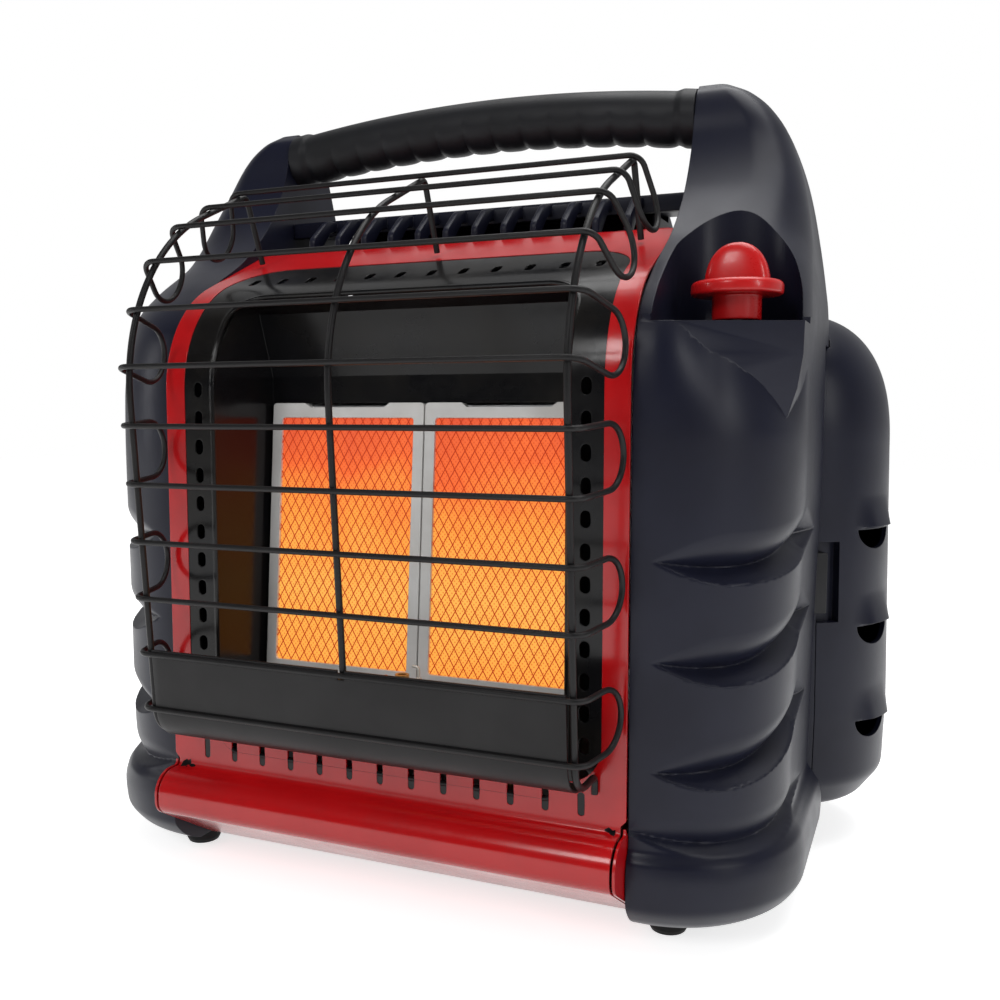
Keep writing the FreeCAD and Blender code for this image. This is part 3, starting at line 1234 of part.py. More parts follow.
def build():
    front_panel()
    reflector_surround()
    firebox_shell()
    guard_rings()
    guard_uprights()
    deflector_plate()
    for side, name in SIDES:
        tile_frame(side, name)
        tile(side, name)
        tile_screen(side, name)
        burner_box(side, name)
        orifice(side, name)
        housing(side, name)
        cylinder_door(side, name)
        door_hinge_pins(side, name)
        door_latch(side, name)
        regulator(side, name)
        swivel_elbow(side, name)
    manifold()
    valve_body()
    valve_spindle()
    control_knob()
    gas_lines()
    pilot_parts()
    handle_grip()
    handle_core()
    top_grille()
    rear_cover()
    heat_shield()
    base_pan()
    rubber_feet()
    battery_box()
    battery_door()
    fan_frame()
    fan_motor()
    fan_blade()
    fan_switch()
    screws()
    tip_over_switch()


def export_all():
    """Checks every object and writes one file per sub-part."""
    os.makedirs("parts", exist_ok=True)
    doc.recompute()
    for item in doc.Objects:
        if "Invalid" in item.State or "Error" in item.State:
            raise RuntimeError(item.Label + " failed")
    for item in nodes:
        if item.Shape.isNull() or not item.Shape.isValid():
            raise RuntimeError(item.Label + " has no valid shape")
    for item in nodes:
        item.Shape.exportStep("parts/" + item.Label + ".step")


build()
export_all()
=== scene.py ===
import json
import math
import bmesh
import bpy
import numpy as np
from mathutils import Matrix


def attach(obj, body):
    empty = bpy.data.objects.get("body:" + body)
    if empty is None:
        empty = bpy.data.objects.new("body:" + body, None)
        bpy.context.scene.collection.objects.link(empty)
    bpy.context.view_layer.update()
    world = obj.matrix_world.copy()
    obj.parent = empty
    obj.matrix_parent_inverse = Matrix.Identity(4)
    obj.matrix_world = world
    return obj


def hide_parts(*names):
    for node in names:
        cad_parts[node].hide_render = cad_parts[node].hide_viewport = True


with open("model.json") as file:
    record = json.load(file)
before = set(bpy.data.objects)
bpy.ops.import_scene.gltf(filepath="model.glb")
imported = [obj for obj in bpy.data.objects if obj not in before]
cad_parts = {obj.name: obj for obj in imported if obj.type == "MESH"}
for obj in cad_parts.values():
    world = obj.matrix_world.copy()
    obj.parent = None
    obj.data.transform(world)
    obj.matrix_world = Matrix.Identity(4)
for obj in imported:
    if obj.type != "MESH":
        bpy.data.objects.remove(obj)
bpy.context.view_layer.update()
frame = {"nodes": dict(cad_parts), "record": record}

mm = 0.001
print("frame loaded")


# Shapes are worked out in millimetres and scaled when they become meshes

# Mesh object from points (n, 3) in millimetres and lists of corner numbers.
def putMesh(name, points, faces, sharp=35, outward=True):
    mesh = bpy.data.meshes.new(name)
    mesh.from_pydata((np.asarray(points) * mm).tolist(), [], [list(face) for face in faces])
    if outward:  # closed shapes get their faces turned outwards
        work = bmesh.new()
        work.from_mesh(mesh)
        bmesh.ops.remove_doubles(work, verts=work.verts, dist=0.00001)
        bmesh.ops.recalc_face_normals(work, faces=work.faces)
        work.to_mesh(mesh)
        work.free()
    mesh.validate()
    piece = bpy.data.objects.new(name, mesh)
    bpy.context.scene.collection.objects.link(piece)
    smooth(piece, sharp)
    return piece


def smooth(piece, sharp=35):
    mesh = piece.data
    mesh.polygons.foreach_set("use_smooth", [True] * len(mesh.polygons))
    mesh.set_sharp_from_angle(angle=math.radians(sharp))


# Quads between the neighbours of a rows x columns grid.
def gridFaces(rows, columns, closeRows=False, closeColumns=False):
    r = np.arange(rows if closeRows else rows - 1)
    c = np.arange(columns if closeColumns else columns - 1)
    r, c = (a.ravel() for a in np.meshgrid(r, c, indexing="ij"))
    rNext, cNext = (r + 1) % rows, (c + 1) % columns
    return np.stack([r * columns + c, r * columns + cNext, rNext * columns + cNext,
                     rNext * columns + c], axis=1)


# Closed skin through a stack of loops (levels, around, 3), capped at both ends.
def loftPiece(name, loops, sharp=35, closed=False):
    levels, around = loops.shape[:2]
    faces = [list(face) for face in gridFaces(levels, around, closed, True)]
    if not closed:
        faces.append(list(range(around)))
        faces.append(list(range((levels - 1) * around, levels * around)))
    return putMesh(name, loops.reshape(-1, 3), faces, sharp)


# Sheet of a given gauge whose outer face is the grid; side is +1 or -1, the face's own front.
def sheetPiece(name, grid, gauge, side, closeColumns=False, sharp=35):
    faces = gridFaces(*grid.shape[:2], False, closeColumns)
    if side < 0:
        faces = faces[:, ::-1]
    piece = putMesh(name, grid.reshape(-1, 3), faces, sharp, outward=False)
    thicken(piece, gauge)
    return piece


def thicken(piece, gauge):
    wall = piece.modifiers.new("wall", "SOLIDIFY")
    wall.thickness, wall.offset, wall.use_even_offset = gauge * mm, -1, True


def softEdges(piece, width, segments):
    rim = piece.modifiers.new("rim", "BEVEL")
    rim.width, rim.segments, rim.limit_method = width * mm, segments, "ANGLE"
    return settle(piece)


# Makes the modifiers part of the mesh.
def settle(piece, sharp=35):
    bpy.context.view_layer.update()
    graph = bpy.context.evaluated_depsgraph_get()
    mesh = bpy.data.meshes.new_from_object(piece.evaluated_get(graph))
    piece.modifiers.clear()
    piece.data = mesh
    smooth(piece, sharp)
    return piece


# Cuts closed pieces out of a piece, or joins them to it, and removes them from the scene.
def carve(piece, cutters, kind="DIFFERENCE", sharp=35):
    for cutter in cutters:
        step = piece.modifiers.new("cut", "BOOLEAN")
        step.operation = kind
        step.solver = "EXACT"
        step.object = cutter
    settle(piece, sharp)
    for cutter in cutters:
        bpy.data.objects.remove(cutter)
    return piece


def prism(name, plan, z0, z1):
    plan = np.asarray(plan, float)
    loops = np.stack([np.c_[plan, np.full(len(plan), z)] for z in (z0, z1)])
    return loftPiece(name, loops)


def barrel(name, x, y, radius, z0, z1, sides=48):
    angle = np.linspace(0, 2 * math.pi, sides, endpoint=False)
    return prism(name, np.stack([x + radius * np.cos(angle), y + radius * np.sin(angle)], axis=1), z0, z1)


# Part of a ring round the bay's axis.
def sector(name, r0, r1, a0, a1, z0, z1):
    angle = np.radians(np.linspace(a0, a1, 13))
    arc = np.stack([np.cos(angle), np.sin(angle)], axis=1)
    plan = np.concatenate([r0 * arc, r1 * arc[::-1]]) + (bay["x"], bay["y"])
    return prism(name, plan, z0, z1)


# One object from several separate closed skins.
def joined(pieces, name):
    work = bmesh.new()
    for piece in pieces:
        work.from_mesh(piece.data)
    mesh = bpy.data.meshes.new(name)
    work.to_mesh(mesh)
    work.free()
    for piece in pieces:
        bpy.data.objects.remove(piece)
    result = bpy.data.objects.new(name, mesh)
    bpy.context.scene.collection.objects.link(result)
    smooth(result)
    return result


# Copy on the other side of the middle plane, with its faces turned back outwards.
def mirrored(piece, name):
    mesh = piece.data.copy()
    points = np.empty(len(mesh.vertices) * 3)
    mesh.vertices.foreach_get("co", points)
    points[::3] *= -1
    mesh.vertices.foreach_set("co", points)
    mesh.flip_normals()
    mesh.update()
    copy = bpy.data.objects.new(name, mesh)
    bpy.context.scene.collection.objects.link(copy)
    return copy


# Dense path through corners (x, y, z, bend radius): straight runs joined by arcs.
def softPath(corners, step=1.2, closed=False):
    corners = np.array(corners, float)
    count = len(corners)
    parts = []
    for i in range(count):
        here, radius = corners[i, :3], corners[i, 3]
        if radius <= 0 or (not closed and i in (0, count - 1)):
            parts.append(here[None])
            continue
        into = here - corners[i - 1, :3]
        out = corners[(i + 1) % count, :3] - here
        into, out = into / np.linalg.norm(into), out / np.linalg.norm(out)
        turn = math.acos(np.clip(into @ out, -1, 1))
        reach = radius * math.tan(turn / 2)
        inward = (out - into) / np.linalg.norm(out - into)
        centre = here + inward * radius / math.cos(turn / 2)
        angles = np.linspace(0, turn, max(int(radius * turn / step), 6) + 1)[:, None]
        start = here - into * reach - centre
        parts.append(centre + start * np.cos(angles) + into * radius * np.sin(angles))
    path = np.concatenate(parts)
    keep = np.r_[True, np.linalg.norm(np.diff(path, axis=0), axis=1) > 1e-4]
    return path[keep]


# The same path with points added on its long straight runs.
def filled(path, step=1.2):
    parts = [path[:1]]
    for start, end in zip(path[:-1], path[1:]):
        count = max(int(np.linalg.norm(end - start) / step), 1)
        parts.append(start + (end - start) * np.linspace(0, 1, count + 1)[1:, None])
    return np.concatenate(parts)


def along(path, closed=False):
    loop = np.r_[path, path[:1]] if closed else path
    return np.r_[0, np.cumsum(np.linalg.norm(np.diff(loop, axis=0), axis=1))]


# Points at given lengths along a path.
def resample(path, places, closed=False):
    loop = np.r_[path, path[:1]] if closed else path
    length = along(path, closed)
    return np.stack([np.interp(places, length, loop[:, k]) for k in range(3)], axis=1)


# Circles of a radius round each point of a path, turned square to it.
def wireLoops(path, radius, reference, closed=False, sides=14):
    if closed:
        tangent = np.roll(path, -1, 0) - np.roll(path, 1, 0)
    else:
        tangent = np.gradient(path, axis=0)
    tangent /= np.linalg.norm(tangent, axis=1)[:, None]
    first = np.cross(tangent, np.asarray(reference, float))
    first /= np.linalg.norm(first, axis=1)[:, None]
    second = np.cross(tangent, first)
    angle = np.linspace(0, 2 * math.pi, sides, endpoint=False)[None, :, None]
    return path[:, None] + radius * (first[:, None] * np.cos(angle) + second[:, None] * np.sin(angle))


def wirePiece(name, path, radius, reference, closed=False, step=1.6):
    length = along(path, closed)[-1]
    count = max(int(length / step), 8)
    places = np.linspace(0, length, count, endpoint=not closed)
    return loftPiece(name, wireLoops(resample(path, places, closed), radius, reference, closed), 60, closed)


# Path in the plane (y, z) moved square to itself, to its left when seen from +X.
def beside(path, shift):
    way = np.gradient(path, axis=0)
    way /= np.linalg.norm(way, axis=1)[:, None]
    return path + shift * np.stack([np.zeros(len(path)), -way[:, 2], way[:, 1]], axis=1)


# Values between the rows of a table, on a curve that doesn't overshoot.
def smoothRows(z, rows):
    rows = np.array(rows, float)
    h = np.diff(rows[:, 0])
    slope = np.diff(rows[:, 1:], axis=0) / h[:, None]
    lean = np.zeros_like(rows[:, 1:])
    same = slope[1:] * slope[:-1] > 0
    lean[1:-1] = np.where(same, 2 * slope[1:] * slope[:-1] / np.where(same, slope[1:] + slope[:-1], 1), 0)
    lean[0], lean[-1] = slope[0], slope[-1]
    i = np.clip(np.searchsorted(rows[:, 0], z) - 1, 0, len(h) - 1)
    t = ((z - rows[i, 0]) / h[i])[:, None]
    return ((2 * t ** 3 - 3 * t ** 2 + 1) * rows[i, 1:] + (t ** 3 - 2 * t ** 2 + t) * h[i, None] * lean[i]
            + (3 * t ** 2 - 2 * t ** 3) * rows[i + 1, 1:] + (t ** 3 - t ** 2) * h[i, None] * lean[i + 1])


# 0 below low, 1 above high, smooth between.
def ramp(value, low, high):
    t = np.clip((value - low) / (high - low), 0, 1)
    return t * t * (3 - 2 * t)


# Materials

# A socket that can be used in sums.
class Wire:
    def __init__(self, paint, socket):
        self.paint, self.socket = paint, socket

    def calc(self, kind, other, swap=False):
        pair = (other, self) if swap else (self, other)
        return self.paint.node("ShaderNodeMath", {"operation": kind}, {0: pair[0], 1: pair[1]})

    def __add__(self, other): return self.calc("ADD", other)
    def __radd__(self, other): return self.calc("ADD", other, True)
    def __sub__(self, other): return self.calc("SUBTRACT", other)
    def __rsub__(self, other): return self.calc("SUBTRACT", other, True)
    def __mul__(self, other): return self.calc("MULTIPLY", other)
    def __rmul__(self, other): return self.calc("MULTIPLY", other, True)
    def __truediv__(self, other): return self.calc("DIVIDE", other)
    def __rtruediv__(self, other): return self.calc("DIVIDE", other, True)


# A node material around one Principled shader.
class Paint:
    def __init__(self, name, **constants):
        self.material = bpy.data.materials.new(name)
        self.material.use_nodes = True
        self.nodes = self.material.node_tree.nodes
        self.links = self.material.node_tree.links
        self.shader = self.nodes["Principled BSDF"]
        for socket, value in constants.items():
            self.shader.inputs[socket.replace("_", " ")].default_value = value
        self.place = self.node("ShaderNodeTexCoord", out="Object")

    # New node with its settings made first, then its inputs given or linked.
    def node(self, kind, settings=None, inputs=None, out=0):
        made = self.nodes.new(kind)
        for key, value in (settings or {}).items():
            if key == "stops":
                ramp = made.color_ramp
                while len(ramp.elements) < len(value):
                    ramp.elements.new(0.5)
                for element, (position, colour) in zip(ramp.elements, value):
                    element.position = position
                    element.color = (*colour, 1)
            else:
                setattr(made, key, value)
        for key, value in (inputs or {}).items():
            self.feed(made.inputs[key], value)
        return Wire(self, made.outputs[out])

    def feed(self, socket, value):
        if isinstance(value, Wire):
            self.links.new(value.socket, socket)
        else:
            socket.default_value = value

    def give(self, **feeds):
        for socket, value in feeds.items():
            self.feed(self.shader.inputs[socket.replace("_", " ")], value)

    def noise(self, scale, detail=3, roughness=0.55, place=None):
        return self.node("ShaderNodeTexNoise", None, {"Vector": place or self.place, "Scale": scale,
                                                      "Detail": detail, "Roughness": roughness})

    def mix(self, factor, first, second):
        return self.node("ShaderNodeMix", {"data_type": "RGBA"}, {0: factor, 6: first, 7: second}, out=2)

    def spread(self, value, low, high, toLow=0.0, toHigh=1.0):
        return self.node("ShaderNodeMapRange", {"clamp": True}, {0: value, 1: low, 2: high, 3: toLow, 4: toHigh})

    def bump(self, height, strength, distance, normal=None):
        feeds = {"Height": height, "Strength": strength, "Distance": distance}
        if normal:
            feeds["Normal"] = normal
        return self.node("ShaderNodeBump", None, feeds)


finishes = {  # colour, its darker patches, roughness low and high, metal, grain size, grain height, coat
    "red_paint": ((0.50, 0.005, 0.007), (0.42, 0.004, 0.006), 0.16, 0.26, 0.0, 420, 0.03, 0.15),
    "black_enamel": ((0.006, 0.006, 0.007), (0.010, 0.009, 0.008), 0.14, 0.26, 0.0, 300, 0.03, 0.0),
    "satin_black_wire": ((0.010, 0.0095, 0.010), (0.007, 0.0065, 0.007), 0.34, 0.48, 0.0, 900, 0.12, 0.0),
    "housing_plastic": ((0.0085, 0.0095, 0.021), (0.0065, 0.007, 0.016), 0.32, 0.42, 0.0, 1500, 0.1, 0.0),
    "grip_rubber": ((0.010, 0.0105, 0.013), (0.007, 0.0075, 0.009), 0.42, 0.56, 0.0, 1300, 0.2, 0.0),
    "foot_rubber": ((0.016, 0.016, 0.017), (0.024, 0.023, 0.022), 0.6, 0.75, 0.0, 900, 0.2, 0.0),
    "knob_plastic": ((0.58, 0.008, 0.009), (0.5, 0.006, 0.007), 0.24, 0.34, 0.0, 1200, 0.05, 0.15),
    "frame_enamel": ((0.80, 0.79, 0.77), (0.68, 0.66, 0.63), 0.4, 0.6, 0.0, 900, 0.2, 0.0),
    "plain_steel": ((0.52, 0.52, 0.52), (0.42, 0.41, 0.4), 0.28, 0.42, 1.0, 500, 0.06, 0.0),
    "zinc_steel": ((0.56, 0.57, 0.58), (0.44, 0.45, 0.46), 0.34, 0.52, 1.0, 120, 0.08, 0.0),
    "brass": ((0.62, 0.43, 0.18), (0.5, 0.32, 0.12), 0.25, 0.42, 1.0, 400, 0.05, 0.0),
    "copper": ((0.62, 0.29, 0.17), (0.42, 0.17, 0.1), 0.28, 0.45, 1.0, 300, 0.05, 0.0),
    "die_cast": ((0.5, 0.5, 0.51), (0.4, 0.4, 0.41), 0.4, 0.58, 1.0, 700, 0.2, 0.0),
    "black_plastic": ((0.018, 0.018, 0.02), (0.013, 0.013, 0.014), 0.4, 0.55, 0.0, 1200, 0.12, 0.0),
    "porcelain": ((0.72, 0.69, 0.62), (0.62, 0.56, 0.47), 0.2, 0.34, 0.0, 200, 0.03, 0.3),
}


# Grain, patches and soft edges from one row of the table.
def plainFinish(name):
    colour, patch, smoothest, roughest, metal, grain, height, coat = finishes[name]
    paint = Paint(name, Metallic=metal, Coat_Weight=coat, Coat_Roughness=0.08,
                  Specular_IOR_Level=0.24 if max(colour) < 0.05 else 0.45)
    clouds = paint.noise(26, 4)
    grains = paint.noise(grain, 2, 0.6)
    paint.give(Base_Color=paint.mix(paint.spread(clouds, 0.42, 0.68), (*colour, 1), (*patch, 1)))
    worn = paint.spread(clouds * 0.7 + grains * 0.3, 0.35, 0.65, smoothest, roughest)
    paint.give(Roughness=worn)
    rounded = paint.node("ShaderNodeBevel", {"samples": 4}, {"Radius": 0.0006})
    paint.give(Normal=paint.bump(grains, height, 0.0002, rounded))
    return paint.material


# Porous ceramic that glows: hotter towards the bottom, with rows of tiny dark holes.
def glowingTile():
    paint = Paint("glowingTile", Roughness=0.8)
    axes = paint.node("ShaderNodeSeparateXYZ", None, {0: paint.place})
    height = Wire(paint, axes.socket.node.outputs["Z"])
    across = Wire(paint, axes.socket.node.outputs["X"])
    clouds = paint.noise(34, 4)
    pitch = 2.4 * mm
    cells = ((across / pitch * 2 * math.pi).calc("SINE", 0) * (height / pitch * 2 * math.pi).calc("SINE", 0))
    holes = paint.spread(cells, 0.3, 0.85)
    heat = paint.spread(height + (clouds - 0.5) * 0.07, 0.1, 0.236)
    colour = paint.node("ShaderNodeValToRGB", {"stops": [(0.0, (1.0, 0.40, 0.06)), (0.3, (1.0, 0.48, 0.085)),
                                                        (0.56, (1.0, 0.36, 0.05)), (0.8, (0.92, 0.155, 0.03)),
                                                        (1.0, (0.72, 0.085, 0.03))]}, {0: heat})
    colour = paint.mix(holes * 0.62, colour, (0.62, 0.05, 0.008, 1))
    paint.give(Base_Color=(0.12, 0.03, 0.015, 1), Emission_Color=colour)
    paint.shader.inputs["Emission Strength"].default_value = 1.0
    paint.give(Normal=paint.bump(holes * -1, 0.5, 0.0005))
    return paint.material


# Wire screen browned by heat, with a painted dull red glow: the emission stands in for light, the screen gives none
# of its own.
def screenPaintedGlow():
    paint = Paint("screenPaintedGlow", Metallic=0.6, Roughness=0.55)
    clouds = paint.noise(60, 3)
    paint.give(Base_Color=paint.mix(clouds, (0.05, 0.008, 0.005, 1), (0.1, 0.02, 0.01, 1)))
    # Painted glow: red emission on the wires in place of light they do not give.
    paint.give(Emission_Color=paint.mix(clouds, (0.42, 0.02, 0.006, 1), (0.62, 0.06, 0.012, 1)))
    paint.shader.inputs["Emission Strength"].default_value = 0.85
    paint.give(Roughness=paint.spread(clouds, 0.3, 0.7, 0.45, 0.65))
    return paint.material


materials = {name: plainFinish(name) for name in finishes}
materials["ceramic_tile"] = glowingTile()
materials["screen_steel"] = screenPaintedGlow()
slotOf = {item["node"]: item["material_slot"] for item in frame["record"]["subparts"]}


# Finish, body and replaced nodes of a new piece.
def dress(piece, slotName, body="heater", replaced=()):
    piece.data.materials.clear()
    piece.data.materials.append(materials[slotName])
    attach(piece, body)
    if replaced:
        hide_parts(*replaced)
    return piece


for nodeName, node in frame["nodes"].items():
    if len(node.data.materials) == 0:
        node.data.materials.append(None)
    for index in range(len(node.data.materials)):
        node.data.materials[index] = materials[slotOf[nodeName]]
print("materials made")


# Red panel and the black surround under it

panel = {"front": 103.0, "half": 119.1, "gauge": 1.2, "lipReach": 16.5, "crease": 54.0, "rear": 14.0,
         "shoulder": 282.3, "slope": 25.0, "openingHalf": 108.0, "openingLow": 74.0, "openingRear": 45.0,
         "lowCorner": 17.0, "highCorner": 26.0, "slots": 13, "slotPitch": 16.5, "slotHeight": 65.0,
         "slotHalf": (1.7, 5.3), "split": 57.5, "capShare": 0.99}
panelTop = panel["shoulder"] + (panel["front"] - panel["rear"]) * math.tan(math.radians(panel["slope"]))


# Outer face of the panel from the lip's underside to its rear edge.
def panelProfile():
    y, nose = -panel["front"], -panel["front"] - panel["lipReach"]
    return filled(softPath([(0, -60, 8, 0), (0, -76, 8, 3), (0, nose, panel["crease"] - 18.6, 8),
                            (0, nose, panel["crease"], 11.5), (0, y, panel["crease"], 1.6),
                            (0, y, panel["shoulder"], 60), (0, -panel["rear"], panelTop, 2),
                            (0, -panel["rear"], panelTop - 12, 0)], 1.0))


# Sheet with a rounded opening, bent along a profile: grid of rings from the opening to the edge.
def frameGrid(path, halfIn, lowIn, highIn, cornerLow, cornerHigh, halfOut, lowOut, highOut, rings):
    def arc(cx, cs, radius, start):
        angle = np.radians(np.linspace(start, start + 90, 13))
        return np.stack([cx + radius * np.cos(angle), cs + radius * np.sin(angle)], axis=1)

    corners = [arc(-halfIn + cornerLow, lowIn + cornerLow, cornerLow, 180),
               arc(halfIn - cornerLow, lowIn + cornerLow, cornerLow, 270),
               arc(halfIn - cornerHigh, highIn - cornerHigh, cornerHigh, 0),
               arc(-halfIn + cornerHigh, highIn - cornerHigh, cornerHigh, 90)]
    edges = np.array([(-halfOut, lowOut), (halfOut, lowOut), (halfOut, highOut), (-halfOut, highOut)])
    inner, outer = [], []
    for k in range(4):
        first, last = corners[k][0], corners[k][-1]
        corner = edges[k]
        if k % 2 == 0:
            ends = np.array([(corner[0], first[1]), corner, (last[0], corner[1])])
        else:
            ends = np.array([(first[0], corner[1]), corner, (corner[0], last[1])])
        steps = np.r_[0, np.cumsum(np.linalg.norm(np.diff(ends, axis=0), axis=1))]
        at = np.linspace(0, steps[-1], 13)
        inner.append(corners[k])
        outer.append(np.stack([np.interp(at, steps, ends[:, j]) for j in range(2)], axis=1))
        following = corners[(k + 1) % 4][0]
        count = int(np.linalg.norm(following - last) / 2.2)
        share = np.linspace(0, 1, count + 2)[1:-1, None]
        run = last + (following - last) * share
        side = run.copy()
        side[:, 1 if k % 2 == 0 else 0] = (lowOut, halfOut, highOut, -halfOut)[k]
        inner.append(run)
        outer.append(side)
    inner, outer = np.concatenate(inner), np.concatenate(outer)
    weight = np.asarray(rings)[:, None, None]
    flat = inner * (1 - weight) + outer * weight
    bent = resample(path, flat[..., 1].ravel()).reshape(*flat.shape[:2], 3)
    bent[..., 0] = flat[..., 0]
    return bent, outer


# Rounded bar that cuts a slot; out is the sheet's face direction, across the slot's width.
def holeCutter(centre, out, across, halfWide, halfHigh, depth=6):
    out, across = np.asarray(out, float), np.asarray(across, float)
    up = np.cross(out, across)
    angle = np.linspace(0, 2 * math.pi, 16, endpoint=False)
    radius = min(halfWide, halfHigh)
    u = (radius * np.cos(angle) + np.sign(np.cos(angle)) * (halfWide - radius))[:, None]
    v = (radius * np.sin(angle) + np.sign(np.sin(angle)) * (halfHigh - radius))[:, None]
    ring = np.asarray(centre) + u * across + v * up
    return np.stack([ring - out * depth, ring + out * depth])


def manyCutters(name, loops):
    points = np.concatenate([pair.reshape(-1, 3) for pair in loops])
    faces, start = [], 0
    for pair in loops:
        around = pair.shape[1]
        faces += (gridFaces(2, around, False, True) + start).tolist()
        faces.append(list(range(start, start + around)))
        faces.append(list(range(start + around, start + 2 * around)))
        start += 2 * around
    return putMesh(name, points, faces)


profile = panelProfile()
lengths = along(profile)
frontRun = (profile[:, 1] > -panel["front"] - 0.05) & (profile[:, 1] < -panel["front"] + 0.05)
frontStart = lengths[frontRun][0] - profile[frontRun][0, 2]
openingLow, splitRow = frontStart + panel["openingLow"], frontStart + panel["split"]
upper = (profile[:, 2] > panel["shoulder"] - 30) & (profile[:, 1] < -panel["rear"] - 2.2)
openingHigh = float(np.interp(-panel["openingRear"], profile[upper, 1], lengths[upper]))
rearRow = float(np.interp(-panel["rear"] - 2.8, profile[upper, 1], lengths[upper]))
rings = np.linspace(0, 1, 13)
sheetGrid, edge = frameGrid(profile, panel["openingHalf"], openingLow, openingHigh, panel["lowCorner"],
                            panel["highCorner"], panel["half"], splitRow, rearRow, rings)
lipX = np.unique(np.round(edge[np.abs(edge[:, 1] - splitRow) < 1e-6, 0], 6))
rearX = np.unique(np.round(edge[np.abs(edge[:, 1] - rearRow) < 1e-6, 0], 6))


def stripGrid(rows, x):
    section = resample(profile, rows)
    grid = np.repeat(section[:, None], len(x), axis=1)
    grid[..., 0] = x[None]
    return grid


lipRows = np.r_[lengths[lengths < splitRow - 0.3], splitRow]
rearRows = np.r_[rearRow, lengths[lengths > rearRow + 0.3]]
blocks = [(sheetGrid, True), (stripGrid(lipRows, lipX), False), (stripGrid(rearRows, rearX), False)]
points, faces, start = [], [], 0
for grid, closeColumns in blocks:
    quads = gridFaces(*grid.shape[:2], False, closeColumns)
    points.append(grid.reshape(-1, 3))
    faces.append((quads if closeColumns else quads[:, ::-1]) + start)
    start += grid.shape[0] * grid.shape[1]
redPanel = putMesh("redPanel", np.concatenate(points), np.concatenate(faces), 35, outward=False)
work = bmesh.new()
work.from_mesh(redPanel.data)
bmesh.ops.remove_doubles(work, verts=work.verts, dist=0.00002)
bmesh.ops.recalc_face_normals(work, faces=work.faces)
facing = sum(face.normal.y * face.calc_area() for face in work.faces if abs(face.normal.z) < 0.2)
if facing > 0:
    bmesh.ops.reverse_faces(work, faces=work.faces)
work.to_mesh(redPanel.data)
work.free()
thicken(redPanel, panel["gauge"])
slots = [holeCutter(((i - 6) * panel["slotPitch"], -panel["front"], panel["slotHeight"]), (0, -1, 0), (1, 0, 0),
                    *panel["slotHalf"]) for i in range(panel["slots"])]
carve(redPanel, [manyCutters("slotCutters", slots)], sharp=30)
low = profile[lengths < splitRow]
caps = []
for x in (-panel["half"], panel["half"]):
    ends = np.stack([low, low])
    ends[:, :, 0] = np.array([[x], [x * panel["capShare"]]])
    caps.append(loftPiece("cap", ends, 30))
redPanel = joined([redPanel] + caps, "redPanel")
dress(redPanel, "red_paint", replaced=["front_panel"])

surround = {"half": 114.6, "low": 68.5, "rear": 44.2, "mouthHalf": 92.0, "mouthLow": 84.0, "mouthRear": 78.0,
            "lowCorner": 12.0, "highCorner": 18.0, "gauge": 1.0, "bead": 1.3, "topPitch": 17.0, "topHalf": (2.3, 4.4),
            "sidePitch": 14.0, "sideHalf": (2.4, 3.7), "sideX": 100.0}
under = beside(profile, -(panel["gauge"] + 0.08))
underLengths = along(under)
underFront = np.abs(under[:, 1] + panel["front"] - panel["gauge"] - 0.08) < 0.05
underStart = underLengths[underFront][0] - under[underFront][0, 2]
underUpper = (under[:, 2] > panel["shoulder"] - 30) & (under[:, 1] < -36)


def depthRow(depth):
    return float(np.interp(-depth, under[underUpper, 1], underLengths[underUpper]))


blackGrid, _ = frameGrid(under, surround["mouthHalf"], underStart + surround["mouthLow"],
                                 depthRow(surround["mouthRear"]), surround["lowCorner"],
                                 surround["highCorner"], surround["half"], underStart + surround["low"],
                                 depthRow(surround["rear"]), np.linspace(0, 1, 9))
blackSheet = sheetPiece("blackSurround", blackGrid, surround["gauge"], 1, True)
slopeOut = np.array([0, -math.sin(math.radians(25)), math.cos(math.radians(25))])
holes = []
for i in range(12):
    spot = resample(under, np.array([depthRow((panel["openingRear"] + surround["mouthRear"]) / 2 + 1)]))[0]
    holes.append(holeCutter(((i - 5.5) * surround["topPitch"], spot[1], spot[2]), slopeOut, (1, 0, 0),
                            *surround["topHalf"]))
for i in range(13):
    row = underStart + surround["mouthLow"] + 12 + i * surround["sidePitch"]
    spot, ahead = resample(under, np.array([row, row + 1]))
    way = (ahead - spot) / np.linalg.norm(ahead - spot)
    for x in (-surround["sideX"], surround["sideX"]):
        holes.append(holeCutter((x, spot[1], spot[2]), (0, -way[2], way[1]), (1, 0, 0), *surround["sideHalf"]))
carve(blackSheet, [manyCutters("holeCutters", holes)], sharp=30)
bead = wireLoops(blackGrid[0], surround["bead"], (0.3, 1, 0.25), True, 10)
blackSheet = joined([blackSheet, loftPiece("mouthBead", bead, 60, True)], "blackSurround")
dress(blackSheet, "black_enamel", replaced=["reflector_surround"])
print("panel and surround made")


# Wire guard and deflector

guard = {"upright": 105.6, "wire": 1.3, "post": 1.5, "footDepth": 133.7, "footHeight": 76.0, "noseDepth": 151.4,
         "noseHeight": 304.9, "noseBend": 98.0, "topDepth": 54.0, "pitch": 27.0, "first": 19.5, "reach": 38.0,
         "flare": 7.0, "cadWire": 1.4, "start": 112.0, "footBend": 17.0}


# Profile of the guard's bars from the panel, down low, up to the top bar.
def guardProfile(shift=0.0, extra=()):
    top = guard["noseHeight"] + (guard["noseDepth"] - guard["topDepth"]) * math.tan(math.radians(25))
    path = softPath([(0, -guard["start"], guard["footHeight"], 0),
                     (0, -guard["footDepth"], guard["footHeight"], guard["footBend"]),
                     (0, -guard["noseDepth"], guard["noseHeight"], guard["noseBend"]),
                     (0, -guard["topDepth"], top, 0)], 1.0)
    path = filled(path)
    return beside(path, -shift) if shift else path


